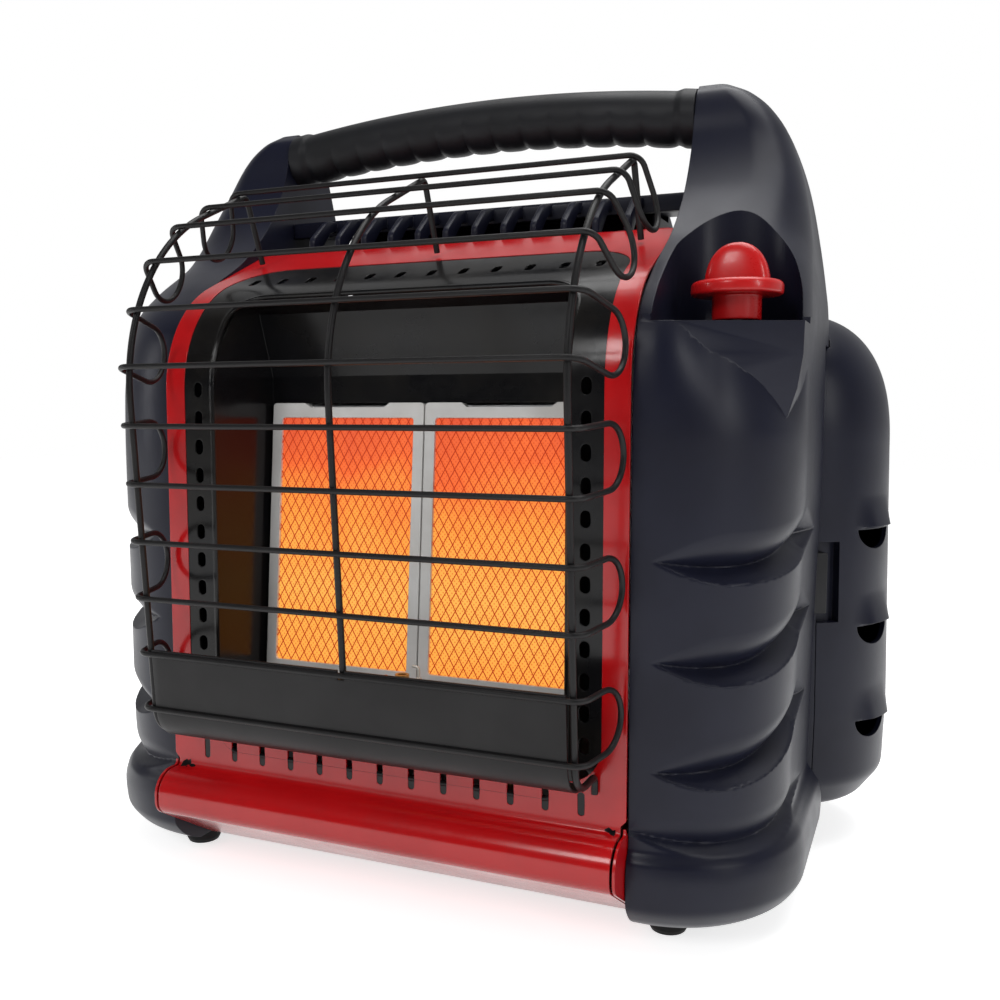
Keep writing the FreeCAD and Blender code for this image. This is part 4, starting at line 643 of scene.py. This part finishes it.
bars = guardProfile()
bend = guard["footBend"]
barLengths = guard["footDepth"] - guard["start"] - bend + bend * math.radians(85) + guard["first"] - bend
barLengths = barLengths + np.arange(12) * guard["pitch"]
barLengths = np.minimum(barLengths, along(bars)[-1])
barPoints = resample(bars, barLengths)
barAhead = resample(bars, np.maximum(barLengths - 0.5, 0))
barWay = (barPoints - barAhead) / np.linalg.norm(barPoints - barAhead, axis=1)[:, None]
barIn = np.stack([np.zeros(12), barWay[:, 2], -barWay[:, 1]], axis=1)
guardPieces = []
for i in range(0, 12, 2):
    low, high = barPoints[i], barPoints[i + 1]
    across = (high - low) / np.linalg.norm(high - low)
    inward = barIn[i] + barIn[i + 1]
    inward -= across * (inward @ across)
    inward /= np.linalg.norm(inward)
    free = (-panel["front"] - 1.6 - guard["cadWire"] - low[1]) / max(inward[1], 0.1)
    reach = min(guard["reach"], free) if i < 8 else guard["reach"] - 8
    bend = np.linalg.norm(high - low) / 2 - 0.01
    wide, out = guard["upright"] + 5, guard["upright"] + 5 + guard["flare"]
    ring = []
    for x, order in ((1, (low, high)), (-1, (high, low))):
        a, b = order
        ring += [(x * wide, *a[1:], 7), (x * out, *(a + inward * reach)[1:], bend),
                 (x * out, *(b + inward * reach)[1:], bend), (x * wide, *b[1:], 7)]
    path = softPath(ring, 0.8, True)
    guardPieces.append(wirePiece("ring", path, guard["wire"], (0.73, *(across[1:] * -0.68)), True, 1.4))
guardRings = joined(guardPieces, "guardRings")
dress(guardRings, "satin_black_wire", replaced=["guard_rings"])

posts = []
behind = guardProfile(guard["cadWire"] + guard["post"] + 0.02)
legY = -39.0
legZ = panel["shoulder"] + (legY + panel["front"]) * math.tan(math.radians(25)) + guard["post"] + 0.4
for x in (-guard["upright"], guard["upright"], 0):
    tail = [(x, behind[-1][1], behind[-1][2], 3.2), (x, legY, legZ, 0)]
    nose = [(x, -guard["noseDepth"] + 3.1, guard["noseHeight"] - 2, guard["noseBend"] - 3)]
    if x:
        back = -panel["front"] - guard["post"] - 0.05
        corners = [(x, back, guard["footHeight"] - 5, 0), (x, back, guard["footHeight"] + 2.9, 3),
                   (x, -guard["footDepth"] + 2.8, guard["footHeight"] + 2.9, 14)] + nose + tail
    else:
        spot = barPoints[1] + barIn[1] * (guard["cadWire"] + guard["post"])
        corners = [(x, spot[1], spot[2] - 2, 0)] + nose + tail
    posts.append(wirePiece("post", softPath(corners, 0.8), guard["post"], (1, 0, 0), False, 1.4))
dress(joined(posts, "guardUprights"), "satin_black_wire", replaced=["guard_uprights"])

deflector = {"half": 103.3, "top": 123.0, "tail": 111.0, "gauge": 1.0}
face = guardProfile(guard["cadWire"] + 0.1)
face = face[(face[:, 1] < -deflector["tail"] + 0.01) & (face[:, 2] < deflector["top"])]
faceRows = resample(face, np.linspace(0, along(face)[-1], 60))
faceGrid = np.repeat(faceRows[:, None], 60, axis=1)
faceGrid[..., 0] = np.linspace(-deflector["half"], deflector["half"], 60)
plate = settle(sheetPiece("deflectorPlate", faceGrid, deflector["gauge"], -1))
foot = barPoints[1][2] - guard["post"] - 0.4
carve(plate, [prism("notch", [(-guard["post"] - 0.3, -150), (guard["post"] + 0.3, -150),
                              (guard["post"] + 0.3, -115), (-guard["post"] - 0.3, -115)], foot, foot + 20)])
softEdges(plate, 0.3, 2)
dress(plate, "satin_black_wire", replaced=["deflector_plate"])
print("guard made")


# Screens: two crossing rows of thin wires in front of each tile

screen = {"wire": 0.24, "wide": 5.25, "high": 9.3, "near": 6.2, "far": 83.8, "low": 5.8, "top": 135.2,
          "front": 0.9, "tilt": 4.5, "seamY": -65.0, "seamZ": 98.0}


# Ends of the line x = x0 + z / slope inside the screen's rectangle.
def clippedLine(x0, slope):
    z = np.array([screen["low"], screen["top"]])
    x = x0 + (z - screen["low"]) / slope
    inside = np.clip(x, screen["near"], screen["far"])
    z = z + (inside - x) * slope
    return np.stack([inside, z], axis=1) if z[1] - z[0] > 1 else None


def makeScreen(side, name):
    wires = []
    slope = screen["high"] / screen["wide"]
    span = (screen["top"] - screen["low"]) / slope
    tilt = math.radians(screen["tilt"])
    for sign in (1, -1):
        for x0 in np.arange(screen["near"] - span, screen["far"] + span, screen["wide"]):
            line = clippedLine(x0, slope * sign)
            if line is None:
                continue
            depth = screen["front"] + 0.12 * sign
            path = np.stack([side * line[:, 0],
                             screen["seamY"] + depth * math.cos(tilt) + line[:, 1] * math.sin(tilt),
                             screen["seamZ"] - depth * math.sin(tilt) + line[:, 1] * math.cos(tilt)], axis=1)
            wires.append(loftPiece("wire", wireLoops(path, screen["wire"], (0, 1, 0), False, 5)))
    return joined(wires, name)


for side, name in ((1, "right"), (-1, "left")):
    dress(makeScreen(side, name + "Screen"), "screen_steel", replaced=["tile_screen_" + name])
print("screens made")


# Side housings: front body, tower and the inner half of the cylinder bay

housing = {"inner": 119.5, "front": 101.0, "outer": 183.0, "corner": 64.0, "rear": 34.0,
           "rearBend": 4.0, "step": 267.2,
           "shelf": 271.6, "knobX": 152.7, "knobY": -52.0, "recess": 28.0,
           "lean": 7.0, "scoops": (  # heights at 13, 40 and 78 degrees, depth, reach up, reach down, start, full
               ((171, 168.3, 173.4), 9.5, 16.0, 6.5, 9, 40), ((128.2, 125.2, 133.3), 9.5, 16.0, 6.5, 9, 40),
               ((81.5, 80.6, 91.3), 9.5, 16.0, 6.5, 9, 40), ((52.5, 49.5, 52.5), 4.5, 13.0, 4.0, -4, 30))}
bay = {"x": 155.5, "y": 86.0, "radius": 57.0, "wall": 2.6, "low": 22.0, "top": 288.0, "dome": 0.8,
       "domeHeight": 73.0, "hingeX": 103.5,
       "hingeY": 137.0, "reach": 10.9, "turn": 36.9, "gap": 0.4, "vents": (167.0, 116.0, 65.5), "ventTurn": -24.0}
f = housing["front"]
o = housing["outer"]
housingRows = [  # height, outer, front, front bend
    (8, o - 14, -f + 16, 46), (10, o - 9, -f + 11, 51), (16, o - 1, -f + 2, 60), (24, o + 3, -f - 3.4, 64),
    (34, o + 3.5, -f - 4, 64), (42, o + 2.2, -f - 3, 64), (47.5, o - 1.2, -f + 0.2, 61.5),
    (52, o - 4, -f + 0.6, 59), (70, o - 3.6, -f, 59), (140, o - 2, -f, 61), (215, o, -f, 63),
    (240, o, -f + 0.6, 63), (256, o, -f + 2.4, 63), (271.6, o, -f + 7, 63), (285, o - 0.5, -f + 17, 56),
    (298, o - 2, -f + 34, 50), (318, o - 5, -f + 66, 40), (344, o - 10, -f + 92, 24), (370, o - 19, -f + 106, 18),
    (384, o - 28, -f + 110, 15), (393, o - 38, -f + 114, 12), (398, o - 48, -f + 120, 7)]
towerRows = [(260, 86, 42), (285, 81, 38), (298, 77, 34), (318, 71, 28), (344, 63, 22), (370, 54, 17), (384, 48, 14),
             (393, 42, 11), (398, 35, 7)]


# Loop of the housing's plan at each height: front, round corner, side, rear corner, rear, inner
# face.
def housingLoops(z, grow=0.0):
    outer, front, bend = smoothRows(z, housingRows).T
    rear, rearBend = smoothRows(np.maximum(z, 260), towerRows).T
    low = z < housing["step"]
    rear = np.where(low, housing["rear"], rear) + grow
    rearBend = np.where(low, housing["rearBend"], rearBend)
    outer, front = outer + grow, front - grow
    inner = housing["inner"] - (40 if grow else 0)
    bend = np.minimum(bend, outer - housing["inner"] - 0.6)
    quarter = np.radians(np.linspace(0, 90, 72))
    corner = np.stack([outer[:, None] - bend[:, None] + bend[:, None] * np.sin(quarter),
                       front[:, None] + bend[:, None] - bend[:, None] * np.cos(quarter)], axis=-1)
    rearArc = np.stack([outer[:, None] - rearBend[:, None] + rearBend[:, None] * np.cos(quarter[::5]),
                        rear[:, None] - rearBend[:, None] + rearBend[:, None] * np.sin(quarter[::5])], axis=-1)

    def run(start, end, count):
        share = np.linspace(0, 1, count + 2)[1:-1]
        return start[:, None] + (end - start)[:, None] * share[None, :, None]

    frontInner = np.stack([np.full_like(z, inner), front], axis=-1)
    rearInner = np.stack([np.full_like(z, inner), rear], axis=-1)
    parts = [frontInner[:, None], run(frontInner, corner[:, 0], 8), corner,
             run(corner[:, -1], rearArc[:, 0], 40), rearArc, run(rearArc[:, -1], rearInner, 10),
             rearInner[:, None], run(rearInner, frontInner, 12)]
    plan = np.concatenate(parts, axis=1)
    return np.concatenate([plan, np.broadcast_to(z[:, None, None], (*plan.shape[:2], 1))], axis=-1)


# Presses the lens-shaped scoops into the rounded corner: depth times a lip that is steep below.
def scooped(loops, lean):
    x, y, z = loops[..., 0], loops[..., 1], loops[..., 2]
    centreX, centreY = housing["outer"] - housing["corner"], -housing["front"] + housing["corner"]
    angle = np.degrees(np.arctan2(x - centreX, -(y - centreY)))
    way = np.where(y < centreY, angle, 90 + (y - centreY) * 0.9)
    way = np.where((x < housing["inner"] + 0.5) | (y > housing["rear"] - 0.5), -99, way)
    push = np.zeros_like(x)
    for heights, depth, up, down, first, full in housing["scoops"]:
        curve = np.polyfit((13, 40, 78), heights, 2)
        line = np.polyval(curve, np.clip(way, 5, 92))
        size = np.sqrt(ramp(way, first, full)) * (1 - ramp(way, 86, 132))
        above = np.clip((z - line) / (up * np.maximum(size, 0.05)), 0, 1)
        beneath = np.clip((line - z) / (down * np.maximum(size, 0.05)), 0, 1)
        lip = np.where(z > line, 1 - np.sin(above * math.pi / 2) ** 0.9, (1 - beneath) ** 0.8)
        push += size * depth * lip
    if lean:
        push += housing["lean"] * ramp(z, 222, 268) * (z < 275) * ramp(way, 8, 34) * (1 - ramp(way, 66, 84))
    side = np.clip(way, 0, 90)
    loops = loops.copy()
    loops[..., 0] -= push * np.sin(np.radians(side))
    loops[..., 1] += push * np.cos(np.radians(side))
    return loops


# Profile (radius, height) of the round bay and its door, from the underside to the top of the dome.
def bayRadius():
    r, low, top = bay["radius"], bay["low"], bay["top"]
    turn = np.radians(np.linspace(0, 90, 60))
    dome = np.stack([np.maximum(r * np.cos(turn) ** bay["dome"], 0.01), 0 * turn,
                     top - bay["domeHeight"] * (1 - np.sin(turn) ** bay["dome"])], axis=1)
    wall = softPath([(0.01, 0, low, 0), (r - 12, 0, low, 12), (r + 0.6, 0, low + 17, 12), (r + 2, 0, low + 54, 60),
                     (*dome[0], 0)], 1.2)
    return filled(np.r_[wall[:-1], dome], 1.2)


# Part of the round shell on one side of the parting plane, as a closed wall of the bay's gauge.
def bayShell(name, start, end, reach, sharp=35, hoods=False):
    outline = bayRadius()
    places = np.linspace(0, along(outline)[-1], 300)
    outside = resample(outline, places)[:, [0, 2]]
    way = np.gradient(outside, axis=0)
    way /= np.linalg.norm(way, axis=1)[:, None]
    inside = outside + bay["wall"] * np.stack([-way[:, 1], way[:, 0]], axis=1)
    inside[:, 0] = np.maximum(inside[:, 0], 0.01)
    share = np.linspace(-1, 1, 121)

    def skin(section):
        radius = section[:, 0]
        half = np.degrees(np.arccos(np.clip(reach / np.maximum(radius, 0.01), -1, 1)))
        angle = np.radians(start + share[None] * half[:, None])
        r = np.broadcast_to(radius[:, None], angle.shape)
        if hoods:
            r = r + hoodHeight(np.degrees(angle), section[:, 1][:, None])
        return np.stack([bay["x"] + r * np.cos(angle), bay["y"] + r * np.sin(angle),
                         np.broadcast_to(section[:, 1][:, None], angle.shape)], axis=-1)

    def hoodHeight(angle, z):
        edge = 1 - ramp(np.abs(angle - bay["ventTurn"] - 3), 7, 21)
        total = np.zeros_like(angle * z)
        for base in bay["vents"]:
            t = (z - base - 6) / 17
            total = total + np.where((t >= 0) & (t <= 1), (1 - np.clip(t, 0, 1)) ** 1.4 * 3.4, 0) * edge
        return total

    outer = skin(outside)
    hoods = False  # the inner face stays plain
    inner = skin(inside)
    rows, columns = outer.shape[:2]
    quads = gridFaces(rows, columns)
    back = gridFaces(rows, columns)[:, ::-1] + rows * columns
    faces = quads.tolist() + back.tolist()
    left, right = np.arange(rows) * columns, np.arange(rows) * columns + columns - 1
    for line, flip in ((left, False), (right, True)):
        strip = np.stack([line[:-1], line[1:], line[1:] + rows * columns, line[:-1] + rows * columns], axis=1)
        faces += (strip[:, ::-1] if flip else strip).tolist()
    return putMesh(name, np.concatenate([outer.reshape(-1, 3), inner.reshape(-1, 3)]), faces, sharp)


# Barrels with an arm each along the parting plane.
def hinges(levels, doorSide):
    hinge = np.array([bay["hingeX"], bay["hingeY"]])
    way = hinge - np.array([180, 35.2])
    way /= np.linalg.norm(way)
    out = np.array([way[1], -way[0]]) * (1 if doorSide else -1)
    made = []
    for z0, z1 in levels:
        near, far, foot = hinge + out * 0.4, hinge + out * 3.2, way * -22
        made.append(prism("arm", [near, near + foot, far + foot, far], z0, z1))
        made.append(barrel("knuckle", *hinge, 4.4, z0, z1))
    return made


def makeHousing(withRecess):
    zRows = np.unique(np.r_[np.arange(8, 60, 0.8), np.arange(60, 190, 0.6), np.arange(190, 266, 2), 267.19, 267.21,
                            np.arange(269, 392, 1.6), np.linspace(392, 398, 9)])
    skin = loftPiece("housingSkin", scooped(housingLoops(zRows), withRecess), 40)
    if withRecess:
        shelfPlan = [(121, -93.9), (126.6, -94.2), (184, -70.3), (184, -30), (121, -30)]
        heights = np.array([216.0, 222, 232, 244, 258, housing["shelf"] + 3])
        corners = np.array([(166.5, -62.0), (171.5, -62.6), (177, -64), (181, -66), (183.4, -68.6), (184, -70.3)])
        shelf = np.stack([np.c_[[shelfPlan[0], shelfPlan[1], corner, (corner[0], -30), shelfPlan[4]],
                                np.full(5, height)] for corner, height in zip(corners, heights)])
        back = np.array([15.0, 9.0, 4.5, 2.0, 0.6, 0])
        shelf[:, :2, 1] += back[:, None]
        shelf = loftPiece("shelf", shelf)
        carve(skin, [shelf], "UNION", 40)
        angle = np.radians(np.linspace(0, 180, 49))
        plan = np.stack([housing["knobX"] + housing["recess"] * np.cos(angle),
                         housing["knobY"] + housing["recess"] * np.sin(angle)], axis=1)
        plan = np.r_[plan, [(housing["knobX"] - housing["recess"], -150), (200, -150), (200, -44),
                            (housing["knobX"] + housing["recess"], -52)]]
        carve(skin, [prism("recess", plan, housing["shelf"], 420)], sharp=40)
    roomPath = bayRadius()
    angle = np.linspace(0, 2 * math.pi, 96, endpoint=False)
    places = resample(roomPath, np.linspace(0, along(roomPath)[-1], 160))
    room = np.stack([bay["x"] + places[:, :1] * np.cos(angle), bay["y"] + places[:, :1] * np.sin(angle),
                     np.broadcast_to(places[:, 2:], (160, 96))], axis=-1)
    carve(skin, [loftPiece("room", room)], sharp=40)
    liner = bayShell("liner", bay["turn"] + 180, 180, bay["reach"])
    return joined([skin, liner] + hinges([(40, 58), (232, 250)], False), "housing")


rightHousing = makeHousing(True)
rightHousing.name = "rightHousing"
dress(rightHousing, "housing_plastic", replaced=["housing_right"])
leftBase = makeHousing(False)
leftHousing = mirrored(leftBase, "leftHousing")
bpy.data.objects.remove(leftBase)
dress(leftHousing, "housing_plastic", replaced=["housing_left"])
print("housings made")


# Cylinder doors

# sectors: inner and outer radius, start and end angle, low and high
doorSizes = {"keeper": (50.2, 56.6, -64.4, -47, 121, 171), "notch": (52.5, 66, -84, -51.5, 125, 167),
             "latch": (52.8, 59.2, -67.2, -58.6, 130, 161.5), "ventHalf": 15.5, "ventRise": 5.5, "ventDrop": 10.5,
             "hinges": ((58.4, 76), (213.6, 231.6))}


def makeDoor():
    door = bayShell("door", bay["turn"], 0, -(bay["reach"] - bay["gap"]), hoods=True)
    towerCut = loftPiece("towerCut", housingLoops(np.r_[266.6, np.arange(267.3, 330, 6)], 0.7))
    carve(door, [towerCut])
    carve(door, [sector("keeper", *doorSizes["keeper"])], "UNION")
    cuts = [sector("notch", *doorSizes["notch"])]
    turn = math.radians(bay["ventTurn"])
    for base in bay["vents"]:
        angle = np.radians(np.linspace(180, 360, 25))
        across = doorSizes["ventHalf"] * np.cos(angle)
        ring = np.stack([bay["x"] - across * math.sin(turn), bay["y"] + across * math.cos(turn),
                         base + doorSizes["ventRise"] + doorSizes["ventDrop"] * np.sin(angle)], axis=1)
        way = np.array([math.cos(turn), math.sin(turn), 0])
        cuts.append(loftPiece("ventCut", np.stack([ring + way * 30, ring + way * 90])))
    carve(door, cuts)
    return joined([door] + hinges(doorSizes["hinges"], True), "door")


def makeLatch():
    return softEdges(sector("latch", *doorSizes["latch"]), 0.8, 3)


rightDoor = makeDoor()
rightDoor.name = "rightDoor"
leftDoor = mirrored(rightDoor, "leftDoor")
rightLatch = makeLatch()
rightLatch.name = "rightLatch"
leftLatch = mirrored(rightLatch, "leftLatch")
for side, door, latch in (("right", rightDoor, rightLatch), ("left", leftDoor, leftLatch)):
    dress(door, "housing_plastic", side + "_door", ["cylinder_door_" + side])
    dress(latch, "black_plastic", side + "_latch", ["door_latch_" + side])
print("doors made")


# Handle and knob

grip = {"half": 119.2, "radius": 14.6, "y": 22.0, "end": 382.0, "rise": 9.4, "span": 123.0, "pitch": 16.6,
        "bumps": 13, "bump": 1.5}
arcRadius = (grip["span"] ** 2 + grip["rise"] ** 2) / (2 * grip["rise"])
gripX = np.linspace(-grip["half"], grip["half"], 420)
gripZ = grip["end"] + grip["rise"] - arcRadius + np.sqrt(arcRadius ** 2 - gripX ** 2)
around = np.linspace(0, 2 * math.pi, 72, endpoint=False)
bumpAt = (gripX[:, None] + 0 * around) / grip["pitch"] + 0.5
beat = np.abs((bumpAt % 1) - 0.5) * 2
inside = np.abs(gripX) < grip["pitch"] * grip["bumps"] / 2
hump = (1 - beat ** 3.2) * inside[:, None]
lowSide = ramp(-np.sin(around), -0.25, 0.95)
collar = 1.0 * ramp(np.abs(gripX), 108, 113)[:, None]
gripR = grip["radius"] - 1.3 + grip["bump"] * hump * lowSide + collar * 1.3
gripLoops = np.stack([gripX[:, None] + 0 * gripR, grip["y"] + gripR * np.cos(around),
                      gripZ[:, None] + gripR * np.sin(around)], axis=-1)
handle = loftPiece("handleGrip", gripLoops, 50)
dress(handle, "grip_rubber", replaced=["handle_grip"])

grille = {"half": 119.1, "front": -12.5, "foot": 321.5, "deckFront": 14.0, "deckRear": 62.0, "top": 345.0,
          "gauge": 3.0, "fins": 12, "pitch": 16.6, "fin": 3.6, "rail": 9.0}


# Deck between the towers, its front rail and the curved fins that rise from the panel's rear edge.
def makeGrille():
    half, top, front, foot = grille["half"], grille["top"], grille["front"], grille["foot"]
    deck = softPath([(0, grille["deckFront"] - 2.5, top - grille["rail"], 0), (0, grille["deckFront"] - 2.5, top, 2),
                     (0, grille["deckRear"], top, 0), (0, grille["deckRear"], top - grille["gauge"], 0),
                     (0, grille["deckFront"] + 2, top - grille["gauge"], 1),
                     (0, grille["deckFront"] + 2, top - grille["rail"], 0)], 0.8)
    ends = np.stack([deck, deck])
    ends[:, :, 0] = np.array([[-half], [half]])
    pieces = [loftPiece("deck", ends)]
    outline = softPath([(0, front, foot - 14, 0), (0, front, foot + 9, 5), (0, 3, top - 1.6, 14),
                        (0, 14, top - 1.2, 0), (0, 14, top - 7, 0), (0, 6, top - 8, 9),
                        (0, front + 7, foot + 3, 4), (0, front + 7, foot - 14, 0)], 0.8)
    for i in range(grille["fins"]):
        x = (i - (grille["fins"] - 1) / 2) * grille["pitch"]
        sides = np.stack([outline, outline])
        sides[:, :, 0] = np.array([[x - grille["fin"] / 2], [x + grille["fin"] / 2]])
        pieces.append(loftPiece("fin", sides))
    return softEdges(joined(pieces, "topGrille"), 0.7, 2)


dress(makeGrille(), "housing_plastic", replaced=["top_grille"])

knob = {"skirt": 10.7, "flange": 20.0, "low": 2.2, "flangeLow": 13.0, "flangeTop": 19.0, "fin": 14.3, "finTop": 36.1}


# Outline (radius, height) turned about an upright axis.
def lathe(name, outline, x, y, z, sides=96, sharp=35):
    angle = np.linspace(0, 2 * math.pi, sides, endpoint=False)
    outline = np.asarray(outline)
    loops = np.stack([x + outline[:, :1] * np.cos(angle), y + outline[:, :1] * np.sin(angle),
                      np.broadcast_to(z + outline[:, 1:2], (len(outline), sides))], axis=-1)
    return loftPiece(name, loops, sharp)


turned = softPath([(0.2, 0, knob["low"], 0), (knob["skirt"], 0, knob["low"], 0.8),
                   (knob["skirt"], 0, knob["flangeLow"], 0.8), (knob["flange"], 0, knob["flangeLow"], 1.4),
                   (knob["flange"], 0, knob["flangeTop"], 2.4), (0.2, 0, knob["flangeTop"] + 1.0, 0)], 0.5)
knobBase = lathe("knobBase", turned[:, [0, 2]], housing["knobX"], housing["knobY"], housing["shelf"])
v = np.linspace(-90, 90, 40)[:, None]
u = np.linspace(0, 360, 80, endpoint=False)[None]


def power(value, exponent):
    return np.sign(value) * np.abs(value) ** exponent


cv, sv = np.cos(np.radians(v)), np.sin(np.radians(v))
cu, su = np.cos(np.radians(u)), np.sin(np.radians(u))
finLoops = np.stack([housing["knobX"] + knob["fin"] * power(cv, 0.9) * power(cu, 0.75),
                     housing["knobY"] + 7.0 * power(cv, 0.55) * power(su, 0.6),
                     housing["shelf"] + 16 + (knob["finTop"] - 16) * power(sv, 0.9) + 0 * u], axis=-1)
finLoops[..., 2] = np.maximum(finLoops[..., 2], housing["shelf"] + 15)
knobPiece = carve(knobBase, [loftPiece("fin", finLoops)], "UNION", 40)
knobPiece.name = "redKnob"
dress(knobPiece, "knob_plastic", "knob", ["control_knob"])
print("handle and knob made")


# Floor, lights and camera

floor = putMesh("floor", [(-4000, -4000, 0), (4000, -4000, 0), (4000, 4000, 0), (-4000, 4000, 0)], [(0, 1, 2, 3)],
                outward=False)
floorPaint = Paint("floorWhite", Roughness=0.8, Specular_IOR_Level=0.0)
seen = floorPaint.node("ShaderNodeLightPath", out="Is Camera Ray")
rays = seen.socket.node.outputs
for kind in ("Is Glossy Ray", "Is Transmission Ray"):
    seen = seen.calc("MAXIMUM", Wire(floorPaint, rays[kind]))
glow = floorPaint.mix(seen, (0, 0, 0, 1), (0.72, 0.72, 0.72, 1))
floorPaint.give(Base_Color=(0.8, 0.8, 0.8, 1), Emission_Color=glow)
floorPaint.shader.inputs["Emission Strength"].default_value = 1.0
floor.data.materials.append(floorPaint.material)


# White for the camera; reflections see white behind the object and a darker room behind the camera.
def studioWorld():
    world = bpy.data.worlds.new("studio")
    bpy.context.scene.world = world
    world.use_nodes = True
    nodes, links = world.node_tree.nodes, world.node_tree.links

    def maths(kind, first, second):
        made = nodes.new("ShaderNodeMath")
        made.operation = kind
        for socket, value in zip(made.inputs, (first, second)):
            if hasattr(value, "links"):
                links.new(value, socket)
            else:
                socket.default_value = value
        return made.outputs[0]

    rays = nodes.new("ShaderNodeLightPath").outputs
    way = nodes.new("ShaderNodeSeparateXYZ")
    links.new(nodes.new("ShaderNodeTexCoord").outputs["Generated"], way.inputs[0])
    behind = nodes.new("ShaderNodeMapRange")
    links.new(way.outputs["Y"], behind.inputs["Value"])
    for socket, value in (("From Min", -0.15), ("From Max", 0.45), ("To Min", 0.02), ("To Max", 0.5)):
        behind.inputs[socket].default_value = value
    seen = maths("MAXIMUM", rays["Is Camera Ray"], rays["Is Transmission Ray"])
    shiny = maths("MULTIPLY", rays["Is Glossy Ray"], behind.outputs[0])
    spread = maths("MULTIPLY", maths("SUBTRACT", 1, maths("MAXIMUM", seen, rays["Is Glossy Ray"])), 0.36)
    level = maths("MAXIMUM", maths("MAXIMUM", seen, shiny), spread)
    nodes["Background"].inputs[0].default_value = (1, 1, 1, 1)
    links.new(level, nodes["Background"].inputs[1])


studioWorld()


def softbox(name, place, target, size, power):
    lamp = bpy.data.lights.new(name, "AREA")
    lamp.shape = "RECTANGLE"
    lamp.size, lamp.size_y = size
    lamp.energy = power
    lampObject = bpy.data.objects.new(name, lamp)
    lampObject.location = place
    way = np.array(target) - np.array(place)
    yaw, pitch = math.atan2(way[1], way[0]), math.acos(way[2] / np.linalg.norm(way))
    lampObject.rotation_euler = (math.pi - pitch, 0, yaw - math.pi / 2)
    bpy.context.scene.collection.objects.link(lampObject)


softbox("topLight", (0.25, 0.25, 2.0), (0, 0, 0), (1.8, 1.4), 30)
softbox("keyLight", (-0.35, -1.7, 1.3), (0.1, 0, 0.25), (0.4, 0.6), 8)
softbox("sideLight", (1.8, -0.9, 0.9), (0.15, 0, 0.2), (0.16, 0.9), 7)
softbox("leftLight", (-1.9, -0.8, 0.7), (-0.1, 0, 0.2), (0.2, 1.0), 5)

camera = bpy.data.cameras.new("camera")
camera.sensor_width = 36
camera.lens = 37.2625
cameraObject = bpy.data.objects.new("camera", camera)
cameraObject.location = (0.234156, -0.517398, 0.233283)
cameraObject.rotation_euler = (math.radians(90 - 4.7957), 0, math.radians(22.6641))
bpy.context.scene.collection.objects.link(cameraObject)
bpy.context.scene.camera = cameraObject
bpy.context.scene.view_settings.view_transform = "Standard"
